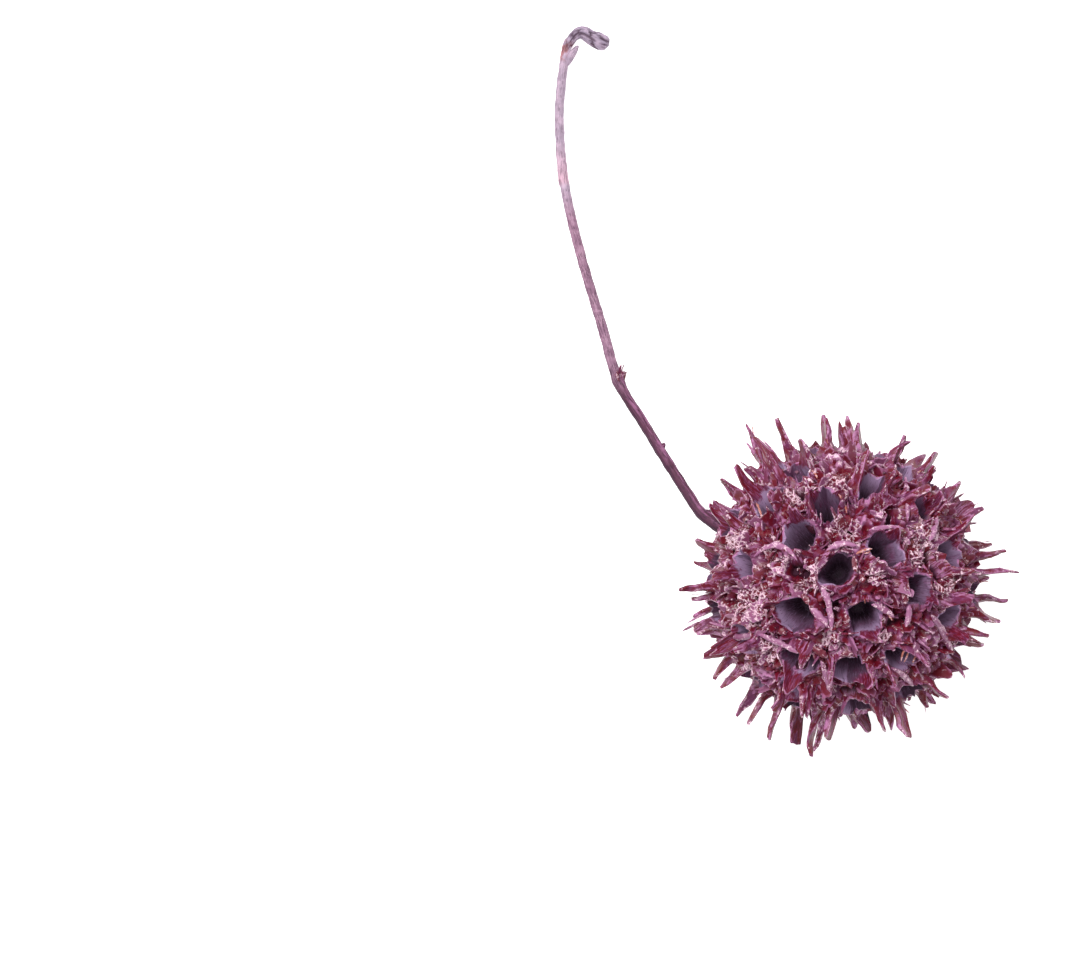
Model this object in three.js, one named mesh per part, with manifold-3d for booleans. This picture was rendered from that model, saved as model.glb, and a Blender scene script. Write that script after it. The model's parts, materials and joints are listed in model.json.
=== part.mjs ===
// Sweetgum seed ball: a woody head of fused two-beaked capsules on a bent stem, lying on a flat surface.
// Millimetres, +Z up. Seen from above, X runs to the right and Y away from the viewer.
// Points of the head and the stem are written as offsets from the ball's middle.
import * as THREE from "three";
import { mergeVertices } from "three/addons/utils/BufferGeometryUtils.js";
import Module from "manifold-3d";

const wasm = await Module();
wasm.setup();

// Where the ball's middle lies in the part's frame, whose origin is on the surface under the middle of the part's box
const BALL_MIDDLE = new THREE.Vector3(6.6, -20.9, 17.0);

// Head: distances from the ball's middle
const VALLEY_RADIUS = 13.6; // the surface between the capsules
const RIM_RADIUS = 14.3; // the two low corners of a mouth
const MOUTH_RADIUS = 15.0; // the middle of a mouth's sloping edge
const SHOULDER_LEVEL = 12.8; // where a capsule's outer wall is widest, just under the valley
const CAVITY_FLOOR = 9.8;
const FOOT_LEVEL = 7.4; // root of a capsule, sunk in the middle
const MIDDLE_DETAIL = 3; // times the twenty faces of the round middle are split

// Capsule: distances from its own axis
const MOUTH_ACROSS = { least: 1.75, most: 2.15 }; // half the gap between the two beaks
const MOUTH_ALONG = { least: 1.95, most: 2.4 }; // half the gap between the two low corners
const FLOOR_SHARE = 0.42; // the cavity floor's width as a share of the mouth's
const WALL = 0.45; // thickness of the rim at its low corners
const SHOULDER = 3.05; // outer radius just under the valley
const FOOT = 1.75; // outer radius of the sunk root
const CAPSULE_ANGLES = [0, 15, 45, 90, 135, 165, 180, 195, 225, 270, 315, 345]; // its sides, closest at its beaks

// Beaks
const BEAK_RISE = { least: 2.4, most: 4.7 }; // how far a tip stands above the mouth's corners
const BEAK_LEAN = { least: 0.05, most: 0.38 }; // outward travel for each millimetre of rise
const BEAK_SWAY = 0.9; // most sideways travel of a tip
const BEAK_WALL = 0.3; // what a beak adds to the rim's thickness
const WEB_SHARE = 0.25; // how far up a beak its broad web reaches
const BEAK_SHARPNESS = 20; // a higher power gives a slimmer beak above its web
const UPPER_WEAR = { share: 0.5, start: 0.6, full: 0.95 }; // beaks that face up are broken short
const GROUND_BITE = 0.5; // how far the lowest tips are worn flat

// Capsules that face up: [right, away, turn of the line between the two beaks in degrees, half the gap between the
// beaks, half the gap between the low corners]
const SEEN_MOUTHS = [
  [-0.7, 1.4, 135, 1.95, 2.2],
  [-5.0, 5.3, 100, 2.25, 1.95],
  [4.9, 3.6, 60, 1.95, 2.2],
  [8.5, -0.8, 160, 1.8, 1.9],
  [2.4, -4.0, 110, 2.2, 1.95],
  [-5.4, -3.6, 160, 2.8, 2.15],
  [-11.2, 2.0, 30, 1.75, 1.9],
  [-8.4, 9.2, 140, 2.15, 1.95],
  [-1.8, 8.8, 5, 1.4, 2.4],
  [3.2, 10.8, 150, 1.3, 2.4],
  [8.5, 8.6, 15, 1.4, 2.2],
  [12.1, 3.2, 70, 1.75, 1.9],
  [12.1, -3.9, 120, 1.8, 2.0],
  [-4.8, -8.9, 60, 2.1, 2.0],
  [0.9, -9.8, 150, 1.9, 2.0],
  [6.5, -8.7, 60, 1.45, 2.4],
  [-5.2, 12.4, 70, 1.8, 2.0],
  [-10.8, -6.4, 20, 1.8, 2.0],
];

// Capsules round the ball's outline: [turn about the vertical, lift above level and roll of the line between the beaks
// in degrees, then rise and lean of the anticlockwise beak, rise and lean of the clockwise one]
const LIMB_CAPSULES = [
  [103.6, 2, 0, 4.8, 0.1, 4.3, 0.1],
  [131.9, -4, 0, 3.4, 0.31, 5.6, 0.27],
  [75.4, 5, 0, 3.2, 0.2, 3.3, 0.2],
  [47, 0, 0, 3.4, 0.02, 2.9, 0.0],
  [19.4, 6, 0, 3.0, 0.18, 4.0, 0.17],
  [-4.8, 8, 0, 4.0, 0.25, 3.6, 0.26],
  [-16.4, -16, 0, 4.1, 0.37, 3.6, 0.39],
  [-46, -2, 0, 2.4, 0.5, 2.4, 0.5],
  [-76, -6, 40, 2.8, 0.02, 2.8, 0.02],
  [-102.3, -18, 46, 5.0, 0.02, 5.5, 0.02],
  [-109, 8, 0, 5.3, 0.02, 4.8, 0.01],
  [-132, 8, 0, 4.5, 0.13, 3.7, 0.12],
  [-137.8, -18, 0, 4.9, 0.07, 4.1, 0.05],
  [-167, 8, 0, 2.7, 0.04, 2.9, 0.05],
  [-177.5, -18, 0, 3.0, 0.4, 2.6, 0.4],
];
const CRUMBLED_PLACES = [
  [-9.9, -2.5],
  [8.0, -4.7],
]; // right and away: broken tissue with no capsule
const CAPSULE_COUNT = 62;
const SPREAD_START = 2.72; // turn in radians at which the other capsules start
const SPREAD_ROUNDS = 240; // rounds in which the other capsules push each other apart
const SPREAD_STEP = 0.0022;

// Stem: its middle line from the root inside the head to the foot
const STEM_ROUTE = [
  [-10.6, 4.9, -1.0],
  [-13.6, 6.2, -1.2],
  [-15.6, 7.7, -1.6],
  [-17.2, 10.1, -2.2],
  [-19.2, 13.2, -3.0],
  [-21.9, 17.6, -4.2],
  [-24.5, 21.9, -5.5],
  [-26.4, 28.2, -7.4],
  [-28.8, 36.3, -9.8],
  [-30.5, 43.8, -12.0],
  [-31.1, 51.2, -14.3],
  [-30.7, 56.3, -15.7],
  [-30.1, 59.3, -16.2],
  [-28.9, 60.6, -16.3],
  [-27.5, 60.1, -16.3],
  [-25.6, 59.2, -16.3],
];
const STEM_RADIUS = { root: 0.6, foot: 0.47 };
const ROOT_SWELL = { extra: 0.55, reach: 0.035 }; // reach is a share of the stem's length
const FOOT_SWELL = { extra: 0.3, start: 0.9 };
const SCAR = { extra: 0.16, at: 0.34, reach: 0.012 }; // ring left by torn scales
const STEM_SIDES = 10;
const STEM_STEPS = 46;
const STEM_GAP = 0.3; // clearance between the stem's root and its hole in the head

const HUSK = new THREE.MeshStandardMaterial({ color: 0x6e2b45, roughness: 0.75, metalness: 0 });
const BARK = new THREE.MeshStandardMaterial({ color: 0xa98aa6, roughness: 0.8, metalness: 0 });

// A repeatable number from 0 to 1 for one property of one capsule.
function draw(index, property) {
  const value = Math.sin(index * 127.1 + property * 311.7) * 43758.5453;
  return value - Math.floor(value);
}

function between(range, share) {
  return range.least + (range.most - range.least) * share;
}

// A closed geometry as a solid that can be joined and cut.
function solidOf(geometry) {
  const bare = new THREE.BufferGeometry();
  bare.setAttribute("position", geometry.getAttribute("position"));
  if (geometry.index) bare.setIndex(geometry.index);
  const merged = mergeVertices(bare);
  const vertProperties = new Float32Array(merged.getAttribute("position").array);
  const triVerts = new Uint32Array(wholeTriangles(merged.index.array));
  return new wasm.Manifold(new wasm.Mesh({ numProp: 3, vertProperties, triVerts }));
}

// Triangles that lost a corner when seams and poles were merged are left out.
function wholeTriangles(index) {
  const kept = [];
  for (let i = 0; i < index.length; i += 3) {
    const [a, b, c] = [index[i], index[i + 1], index[i + 2]];
    if (a !== b && b !== c && c !== a) kept.push(a, b, c);
  }
  return kept;
}

function geometryOf(solid) {
  const mesh = solid.getMesh();
  const geometry = new THREE.BufferGeometry();
  geometry.setAttribute("position", new THREE.BufferAttribute(mesh.vertProperties, 3));
  geometry.setIndex(new THREE.BufferAttribute(mesh.triVerts, 1));
  geometry.computeVertexNormals();
  return geometry;
}

// A direction with a turn about the vertical and a lift above level, in degrees.
function directionOf(turn, lift) {
  const polar = THREE.MathUtils.degToRad(90 - lift);
  const azimuth = THREE.MathUtils.degToRad(turn);
  const flat = Math.sin(polar);
  return new THREE.Vector3(flat * Math.cos(azimuth), flat * Math.sin(azimuth), Math.cos(polar));
}

// The direction of a place on the ball that is seen from above.
function seenDirection([right, away]) {
  return new THREE.Vector3(right, away, Math.sqrt(MOUTH_RADIUS ** 2 - right ** 2 - away ** 2)).normalize();
}

// Directions of all the capsules: the listed ones first, the others spread evenly over what is left.
function capsuleAxes() {
  const seen = SEEN_MOUTHS.map(seenDirection);
  const listed = [...seen, ...LIMB_CAPSULES.map(([turn, lift]) => directionOf(turn, lift))];
  const keptClear = [new THREE.Vector3(...STEM_ROUTE[1]).normalize(), ...CRUMBLED_PLACES.map(seenDirection)];
  const count = CAPSULE_COUNT - listed.length;
  const top = Math.min(...seen.map((axis) => axis.z));
  const goldenTurn = Math.PI * (3 - Math.sqrt(5));
  const others = [];
  for (let i = 0; i < count; i++) {
    const z = top - ((i + 0.5) / count) * (1 + top);
    const ring = Math.sqrt(1 - z * z);
    const turn = SPREAD_START + i * goldenTurn;
    others.push(new THREE.Vector3(ring * Math.cos(turn), ring * Math.sin(turn), z));
  }
  for (let round = 0; round < SPREAD_ROUNDS; round++) {
    const before = [...others, ...listed, ...keptClear].map((axis) => axis.clone());
    others.forEach((axis, i) => {
      const push = new THREE.Vector3();
      before.forEach((neighbour, j) => {
        if (i === j) return;
        const away = before[i].clone().sub(neighbour);
        push.addScaledVector(away, 1 / away.lengthSq() ** 2);
      });
      axis.addScaledVector(push, SPREAD_STEP).normalize();
    });
  }
  return [...listed, ...others];
}

// One capsule's own frame, the size of its mouth and its two beaks.
function capsuleOf(axis, index) {
  const seen = SEEN_MOUTHS[index];
  const limb = LIMB_CAPSULES[index - SEEN_MOUTHS.length];
  const toBeak = new THREE.Vector3(draw(index, 1) - 0.5, draw(index, 2) - 0.5, draw(index, 3) - 0.5);
  if (seen) toBeak.copy(directionOf(seen[2], 0));
  if (limb) toBeak.copy(directionOf(limb[0] + 90, 0)).applyAxisAngle(axis, THREE.MathUtils.degToRad(limb[2]));
  toBeak.addScaledVector(axis, -toBeak.dot(axis)).normalize();
  const toCorner = axis.clone().cross(toBeak);
  const capsule = {
    axis,
    toBeak,
    toCorner,
    frame: new THREE.Matrix4().makeBasis(toBeak, toCorner, axis),
    across: seen ? seen[3] : between(MOUTH_ACROSS, draw(index, 4)),
    along: seen ? seen[4] : between(MOUTH_ALONG, draw(index, 5)),
  };
  capsule.beaks = [0, 1].map((side) => beakOf(capsule, index, side));
  return capsule;
}

function beakOf(capsule, index, side) {
  const facing = side === 0 ? 1 : -1;
  const limb = LIMB_CAPSULES[index - SEEN_MOUTHS.length];
  const lean = facing * (limb ? limb[4 + 2 * side] : between(BEAK_LEAN, draw(index, 8 + side)));
  const sway = BEAK_SWAY * (2 * draw(index, 10 + side) - 1);
  const worn = UPPER_WEAR.share * THREE.MathUtils.smoothstep(capsule.axis.z, UPPER_WEAR.start, UPPER_WEAR.full);
  const grown = limb ? limb[3 + 2 * side] : between(BEAK_RISE, draw(index, 6 + side)) * (1 - worn);
  const foot = new THREE.Vector3(facing * (capsule.across + WALL + BEAK_WALL), sway, RIM_RADIUS);
  return { lean, sway, rise: Math.min(grown, riseToGround(capsule, foot, lean)) };
}

// How far a beak can rise before its tip reaches the surface that the ball lies on.
function riseToGround(capsule, foot, lean) {
  const fall = -(capsule.axis.z + lean * capsule.toBeak.z);
  const footHeight = foot.clone().applyMatrix4(capsule.frame).z + BALL_MIDDLE.z;
  return fall > 0 ? (footHeight + GROUND_BITE) / fall : Infinity;
}

// A point of the rim on its inner or outer edge. Angle 0 is at one beak, half a turn at the other, and the two low
// corners lie between.
function rimPoint(capsule, angle, outer) {
  const c = Math.cos(angle);
  const s = Math.sin(angle);
  const beak = capsule.beaks[c > 0 ? 0 : 1];
  const spike = Math.abs(c) ** BEAK_SHARPNESS;
  const share = WEB_SHARE * c * c + (1 - WEB_SHARE) * spike;
  const rise = beak.rise * share;
  const wall = outer ? WALL + BEAK_WALL * spike : 0;
  return new THREE.Vector3(
    (capsule.across + wall) * c + beak.lean * rise,
    (capsule.along + wall) * s + beak.sway * share * share,
    RIM_RADIUS + rise,
  );
}

// A point of a round or oval ring about a capsule's axis.
function ringPoint(across, along, angle, level) {
  return new THREE.Vector3(across * Math.cos(angle), along * Math.sin(angle), level);
}

function floorPoint(capsule, angle, grow) {
  const across = capsule.across * FLOOR_SHARE + grow;
  const along = capsule.along * FLOOR_SHARE + grow;
  return ringPoint(across, along, angle, CAVITY_FLOOR - grow);
}

// A capsule's closed wall: from the sunk root up the outside, over the rim and down to the cavity's floor.
const CAPSULE_RINGS = [
  () => new THREE.Vector3(0, 0, FOOT_LEVEL),
  (capsule, angle) => ringPoint(FOOT, FOOT, angle, FOOT_LEVEL),
  (capsule, angle) => ringPoint(SHOULDER, SHOULDER, angle, SHOULDER_LEVEL),
  (capsule, angle) => rimPoint(capsule, angle, true),
  (capsule, angle) => rimPoint(capsule, angle, false),
  (capsule, angle) => floorPoint(capsule, angle, 0),
  () => new THREE.Vector3(0, 0, CAVITY_FLOOR),
];

// The room that a capsule takes out of the round middle: its cavity, grown to half the wall's thickness.
const ROOM_RINGS = [
  () => new THREE.Vector3(0, 0, CAVITY_FLOOR - WALL / 2),
  (capsule, angle) => floorPoint(capsule, angle, WALL / 2),
  (capsule, angle) => ringPoint(capsule.across + WALL / 2, capsule.along + WALL / 2, angle, RIM_RADIUS),
  () => new THREE.Vector3(0, 0, RIM_RADIUS + WALL),
];

// A turned solid whose rings are then drawn to the points that the ring functions give.
function ringSolid(rings, capsule) {
  const sides = CAPSULE_ANGLES.length;
  const lastLevel = rings.length - 1;
  const profile = rings.map((ring, level) => new THREE.Vector2(level % lastLevel === 0 ? 0 : 1, level));
  const geometry = new THREE.LatheGeometry(profile, sides);
  const position = geometry.getAttribute("position");
  for (let side = 0; side <= sides; side++) {
    const angle = THREE.MathUtils.degToRad(CAPSULE_ANGLES[side % sides]);
    rings.forEach((ring, level) => {
      const point = ring(capsule, angle).applyMatrix4(capsule.frame);
      position.setXYZ(side * rings.length + level, point.x, point.y, point.z);
    });
  }
  return solidOf(geometry);
}

function stemRadius(share) {
  const taper = STEM_RADIUS.root + (STEM_RADIUS.foot - STEM_RADIUS.root) * share;
  const root = ROOT_SWELL.extra * Math.exp(-share / ROOT_SWELL.reach);
  const foot = FOOT_SWELL.extra * THREE.MathUtils.smoothstep(share, FOOT_SWELL.start, 1);
  const scar = SCAR.extra * Math.exp(-(((share - SCAR.at) / SCAR.reach) ** 2));
  return taper + root + foot + scar;
}

// The stem as a round bar bent along its route, grown by a clearance where it makes its own hole.
function stemSolid(grow) {
  const route = new THREE.CatmullRomCurve3(STEM_ROUTE.map((point) => new THREE.Vector3(...point)));
  const frames = route.computeFrenetFrames(STEM_STEPS);
  const bar = new THREE.CylinderGeometry(1, 1, 1, STEM_SIDES, STEM_STEPS);
  const position = bar.getAttribute("position");
  for (let i = 0; i < position.count; i++) {
    const share = 0.5 - position.getY(i);
    const step = Math.round(share * STEM_STEPS);
    const radius = stemRadius(share) + grow;
    const point = route.getPointAt(share);
    point.addScaledVector(frames.normals[step], radius * position.getZ(i));
    point.addScaledVector(frames.binormals[step], -radius * position.getX(i));
    position.setXYZ(i, point.x, point.y, point.z);
  }
  return solidOf(bar);
}

// Everything below the surface that the part lies on.
function groundSolid() {
  const size = 200;
  const box = new THREE.BoxGeometry(size, size, size);
  box.translate(0, 0, -size / 2 - BALL_MIDDLE.z);
  return solidOf(box);
}

function headSolid() {
  const capsules = capsuleAxes().map(capsuleOf);
  let head = solidOf(new THREE.IcosahedronGeometry(VALLEY_RADIUS, MIDDLE_DETAIL));
  for (const capsule of capsules) head = head.subtract(ringSolid(ROOM_RINGS, capsule));
  for (const capsule of capsules) head = head.add(ringSolid(CAPSULE_RINGS, capsule));
  return head.subtract(stemSolid(STEM_GAP));
}

function node(name, solid, material) {
  const mesh = new THREE.Mesh(geometryOf(solid), material);
  mesh.name = name;
  return mesh;
}

const ground = groundSolid();
const seedBall = new THREE.Group();
seedBall.add(node("seed_head", headSolid().subtract(ground), HUSK));
seedBall.add(node("stem", stemSolid(0).subtract(ground), BARK));
seedBall.position.copy(BALL_MIDDLE);

const part = new THREE.Group();
part.add(seedBall);

export default part;
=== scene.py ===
"""A dyed sweetgum seed ball on its bent stem, laid on a pale floor and seen from straight above.

The head is a round middle with open two-beaked capsules fused to it, broken tissue between them and torn
fibres on them. The stem is a ridged bar along a bent route. Metres, +Z up, in the frame of the part's solids.
"""

import itertools
import json
import math

import bmesh
import bpy
from bpy.props import FloatProperty, FloatVectorProperty, IntProperty, PointerProperty
from mathutils import Euler, Matrix, Vector, geometry, kdtree, noise

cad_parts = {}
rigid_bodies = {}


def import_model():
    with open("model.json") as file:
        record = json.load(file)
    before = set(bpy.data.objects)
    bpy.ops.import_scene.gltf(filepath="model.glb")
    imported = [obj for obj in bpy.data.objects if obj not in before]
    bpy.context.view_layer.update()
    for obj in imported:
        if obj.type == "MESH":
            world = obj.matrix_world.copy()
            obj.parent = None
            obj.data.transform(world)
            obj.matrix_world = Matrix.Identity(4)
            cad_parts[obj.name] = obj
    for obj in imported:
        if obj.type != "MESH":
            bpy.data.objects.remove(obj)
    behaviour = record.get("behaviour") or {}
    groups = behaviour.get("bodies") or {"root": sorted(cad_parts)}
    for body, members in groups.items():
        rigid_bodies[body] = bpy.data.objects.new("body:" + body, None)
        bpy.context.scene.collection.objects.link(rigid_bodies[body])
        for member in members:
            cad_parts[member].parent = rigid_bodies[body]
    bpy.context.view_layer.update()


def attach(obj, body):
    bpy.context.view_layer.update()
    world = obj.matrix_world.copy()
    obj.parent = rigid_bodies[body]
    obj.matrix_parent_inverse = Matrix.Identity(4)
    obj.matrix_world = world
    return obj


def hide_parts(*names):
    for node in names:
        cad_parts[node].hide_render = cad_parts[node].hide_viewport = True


bl_info = {
    "name": "Sweetgum seed ball",
    "version": (1, 0, 0),
    "blender": (4, 5, 0),
    "location": "View3D > Sidebar > Sweetgum",
    "description": "Models and finishes a dyed sweetgum seed ball on its stem",
    "category": "Add Mesh",
}

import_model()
MM = 0.001
FULL_TURN = 2.0 * math.pi

# Vector noise takes its offsets from the clock until it is given a seed
NOISE_SEED = 2

# The photograph's frame in pixels, the ball's middle in it, and the real size of one pixel
PHOTO_WIDTH = 1091
PHOTO_HEIGHT = 960
BALL_PIXEL = (842, 582)
PIXEL = 0.11 * MM

# The ball's middle in the part's frame
BALL_MIDDLE = Vector((6.6, -20.9, 17.0)) * MM

# Capsules that face up, in millimetres and degrees: right and away of the ball's middle, turn of the line
# between the beaks, half the gap between the beaks and half the gap between the corners
SEEN_MOUTHS = (
    (-0.7, 1.4, 135, 1.95, 2.2),
    (-5.0, 5.3, 100, 2.25, 1.95),
    (4.9, 3.6, 60, 1.95, 2.2),
    (8.5, -0.8, 160, 1.8, 1.9),
    (2.4, -4.0, 110, 2.2, 1.95),
    (-5.4, -3.6, 160, 2.8, 2.15),
    (-11.2, 2.0, 30, 1.75, 1.9),
    (-8.4, 9.2, 140, 2.15, 1.95),
    (-1.8, 8.8, 5, 1.4, 2.4),
    (3.2, 10.8, 150, 1.3, 2.4),
    (8.5, 8.6, 15, 1.4, 2.2),
    (12.1, 3.2, 70, 1.75, 1.9),
    (12.1, -3.9, 120, 1.8, 2.0),
    (-4.8, -8.9, 60, 2.1, 2.0),
    (0.9, -9.8, 150, 1.9, 2.0),
    (6.5, -8.7, 60, 1.45, 2.4),
    (-5.2, 12.4, 70, 1.8, 2.0),
    (-10.8, -6.4, 20, 1.8, 2.0),
)

# Capsules round the ball's outline: turn about the vertical, lift above level and roll of the line between
# the beaks in degrees, then rise in millimetres, lean and style of the anticlockwise beak and of the other
LIMB_CAPSULES = (
    (103.6, 2, 0, 4.8, 0.1, "paddle", 4.3, 0.1, "fork"),
    (131.9, -4, 0, 3.4, 0.31, "broad", 5.6, 0.27, "point"),
    (75.4, 5, 0, 3.2, 0.2, "paddle", 3.3, 0.2, "splinter"),
    (47, 0, 0, 3.4, 0.02, "finger", 2.9, 0.0, "broad"),
    (19.4, 6, 0, 3.0, 0.18, "finger", 4.0, 0.17, "point"),
    (-4.8, 8, 0, 4.0, 0.25, "splinter", 3.6, 0.26, "broad"),
    (-16.4, -16, 0, 4.1, 0.37, "point", 3.6, 0.39, "hook"),
    (-46, -2, 0, 2.4, 0.5, "broad", 2.4, 0.5, "fork"),
    (-76, -6, 40, 2.8, 0.02, "splinter", 2.8, 0.02, "finger"),
    (-102.3, -18, 46, 5.0, 0.02, "point", 5.5, 0.02, "paddle"),
    (-109, 8, 0, 5.3, 0.02, "point", 4.8, 0.01, "finger"),
    (-132, 8, 0, 4.5, 0.13, "paddle", 3.7, 0.12, "broad"),
    (-137.8, -18, 0, 4.9, 0.07, "splinter", 4.1, 0.05, "finger"),
    (-167, 8, 0, 2.7, 0.04, "point", 2.9, 0.05, "broad"),
    (-177.5, -18, 0, 3.0, 0.4, "finger", 2.6, 0.4, "point"),
)

# Crumbled places that face up and have no mouth: right and away of the ball's middle, in millimetres
CRUMBLED_PLACES = ((-9.9, -2.5), (8.0, -4.7))

# Styles of the beaks that aren't listed, each as often as it is drawn
OTHER_STYLES = ("point", "finger", "paddle", "point", "broad", "fork", "finger", "hook", "splinter", "finger")

# How the capsules that aren't listed are spread: first turn, rounds of pushing apart and strength of a push
SPREAD_START = 2.72
SPREAD_ROUNDS = 240
SPREAD_STEP = 0.0022

# Crumbled and dusted places: right and away of the ball's middle, and reach, in millimetres
DUSTED_PLACES = (
    (-10.4, -2.6, 2.3),
    (-7.0, 2.0, 1.3),
    (-3.4, 0.4, 1.5),
    (0.0, 4.9, 1.4),
    (8.9, 4.3, 1.7),
    (-0.8, 10.8, 1.4),
    (-5.2, 9.3, 1.2),
    (-1.4, -6.4, 1.2),
    (-11.6, 4.6, 1.3),
    (-8.0, -7.6, 1.2),
    (3.6, 0.8, 1.1),
    (4.6, -6.3, 1.0),
    (11.2, -0.6, 1.0),
)

# Ridges and loose fibres that face up: right and away of one end and of the other, bow to the left of the
# line between them and half thickness in millimetres, then tone
SEEN_SHREDS = (
    (-9.8, 2.8, -5.0, 2.4, 1.5, 0.36, 0.78),
    (-9.3, -5.7, -4.9, -7.8, 0.2, 0.4, 0.74),
    (-1.9, -1.4, -1.3, -5.3, 0.2, 0.36, 0.8),
    (6.9, 11.6, 7.1, 6.8, 0.1, 0.34, 0.76),
    (10.4, 7.1, 9.5, 4.5, 0.1, 0.4, 0.8),
    (-12.9, -6.0, -8.3, -5.3, -0.3, 0.42, 0.6),
    (-3.5, -2.8, -1.7, -4.9, 0.1, 0.46, 0.78),
    (-1.9, 3.4, 1.6, 4.0, 0.5, 0.36, 0.8),
    (-2.4, -0.5, -1.4, -2.8, 0.1, 0.4, 0.8),
    (-2.4, -8.6, -1.3, -12.4, 0.1, 0.36, 0.74),
    (9.7, -3.6, 12.1, -8.0, 0.3, 0.42, 0.62),
    (5.3, -9.4, 7.8, -11.4, 0.2, 0.36, 0.6),
    (2.8, 5.7, 6.7, 5.9, 0.3, 0.26, 0.81),
    (-7.7, -1.9, -8.3, -3.9, 0.2, 0.45, 0.05),
    (6.7, -1.0, 6.8, -2.4, 0.1, 0.4, 0.05),
    (1.2, 2.9, 1.5, 1.1, -0.1, 0.36, 0.05),
    (0.3, -3.4, 0.3, -4.9, 0.1, 0.36, 0.05),
    (1.9, 0.9, 2.2, -0.1, 0.1, 0.36, 0.05),
    (-4.6, -1.3, -3.7, -2.4, 0.1, 0.4, 0.05),
    (-7.4, -5.3, -6.2, -5.6, 0.1, 0.4, 0.08),
    (-3.4, -7.1, -1.7, -8.3, 0.1, 0.5, 0.05),
    (-0.3, -8.0, 1.1, -7.8, 0.1, 0.36, 0.15),
    (3.1, -2.4, 5.6, -3.8, 0.2, 0.36, 0.66),
    (7.3, -2.5, 6.9, -4.9, 0.1, 0.38, 0.76),
    (-9.5, 8.7, -8.9, 7.1, 0.1, 0.13, 1.0),
    (-9.2, 8.6, -8.8, 7.3, -0.2, 0.1, 1.0),
    (-0.5, 9.7, 0.4, 7.6, 0.2, 0.14, 1.0),
    (-0.2, 9.4, 0.5, 8.0, -0.1, 0.1, 0.95),
    (1.4, 3.1, 3.2, 3.7, 0.1, 0.16, 0.95),
    (1.9, 3.4, 3.0, 3.4, -0.2, 0.1, 1.0),
    (6.4, -8.7, 7.2, -6.7, 0.2, 0.13, 1.0),
    (6.7, -8.8, 7.3, -7.2, -0.1, 0.1, 0.95),
    (7.7, -8.9, 8.2, -7.8, 0.1, 0.12, 1.0),
    (12.9, 6.9, 13.4, 5.5, 0.1, 0.12, 1.0),
    (11.3, 1.7, 13.1, 1.3, 0.1, 0.13, 0.95),
    (-3.4, 12.3, -2.8, 11.4, 0.1, 0.11, 1.0),
    (4.5, -3.1, 5.4, -4.2, 0.1, 0.12, 1.0),
)

# The stem's middle line from its root in the head to its foot, in millimetres from the ball's middle
STEM_ROUTE = (
    (-10.6, 4.9, -1.0),
    (-13.6, 6.2, -1.2),
    (-15.6, 7.7, -1.6),
    (-17.2, 10.1, -2.2),
    (-19.2, 13.2, -3.0),
    (-21.9, 17.6, -4.2),
    (-24.5, 21.9, -5.5),
    (-26.4, 28.2, -7.4),
    (-28.8, 36.3, -9.8),
    (-30.5, 43.8, -12.0),
    (-31.1, 51.2, -14.3),
    (-30.7, 56.3, -15.7),
    (-30.1, 59.3, -16.2),
    (-28.9, 60.6, -16.3),
    (-27.5, 60.1, -16.3),
    (-25.6, 59.2, -16.3),
)


# Settings that a user would change

def length(name, description, millimetres):
    """A property for a real length, given in millimetres."""
    return FloatProperty(
        name=name, description=description, default=millimetres * MM, precision=5, unit="LENGTH"
    )


def share(name, description, value):
    """A property for a plain number."""
    return FloatProperty(name=name, description=description, default=value, precision=3)


def count(name, description, value):
    """A property for a number of like things."""
    return IntProperty(name=name, description=description, default=value, min=0)


def linear(channel):
    """One display channel from 0 to 255 as linear light."""
    value = channel / 255
    return value / 12.92 if value <= 0.04045 else ((value + 0.055) / 1.055) ** 2.4


def dye(name, description, red, green, blue):
    """A property for a colour, given as display values from 0 to 255."""
    colour = tuple(linear(channel) for channel in (red, green, blue))
    return FloatVectorProperty(
        name=name, description=description, subtype="COLOR", size=4, min=0.0, max=1.0, default=(*colour, 1.0)
    )


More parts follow.
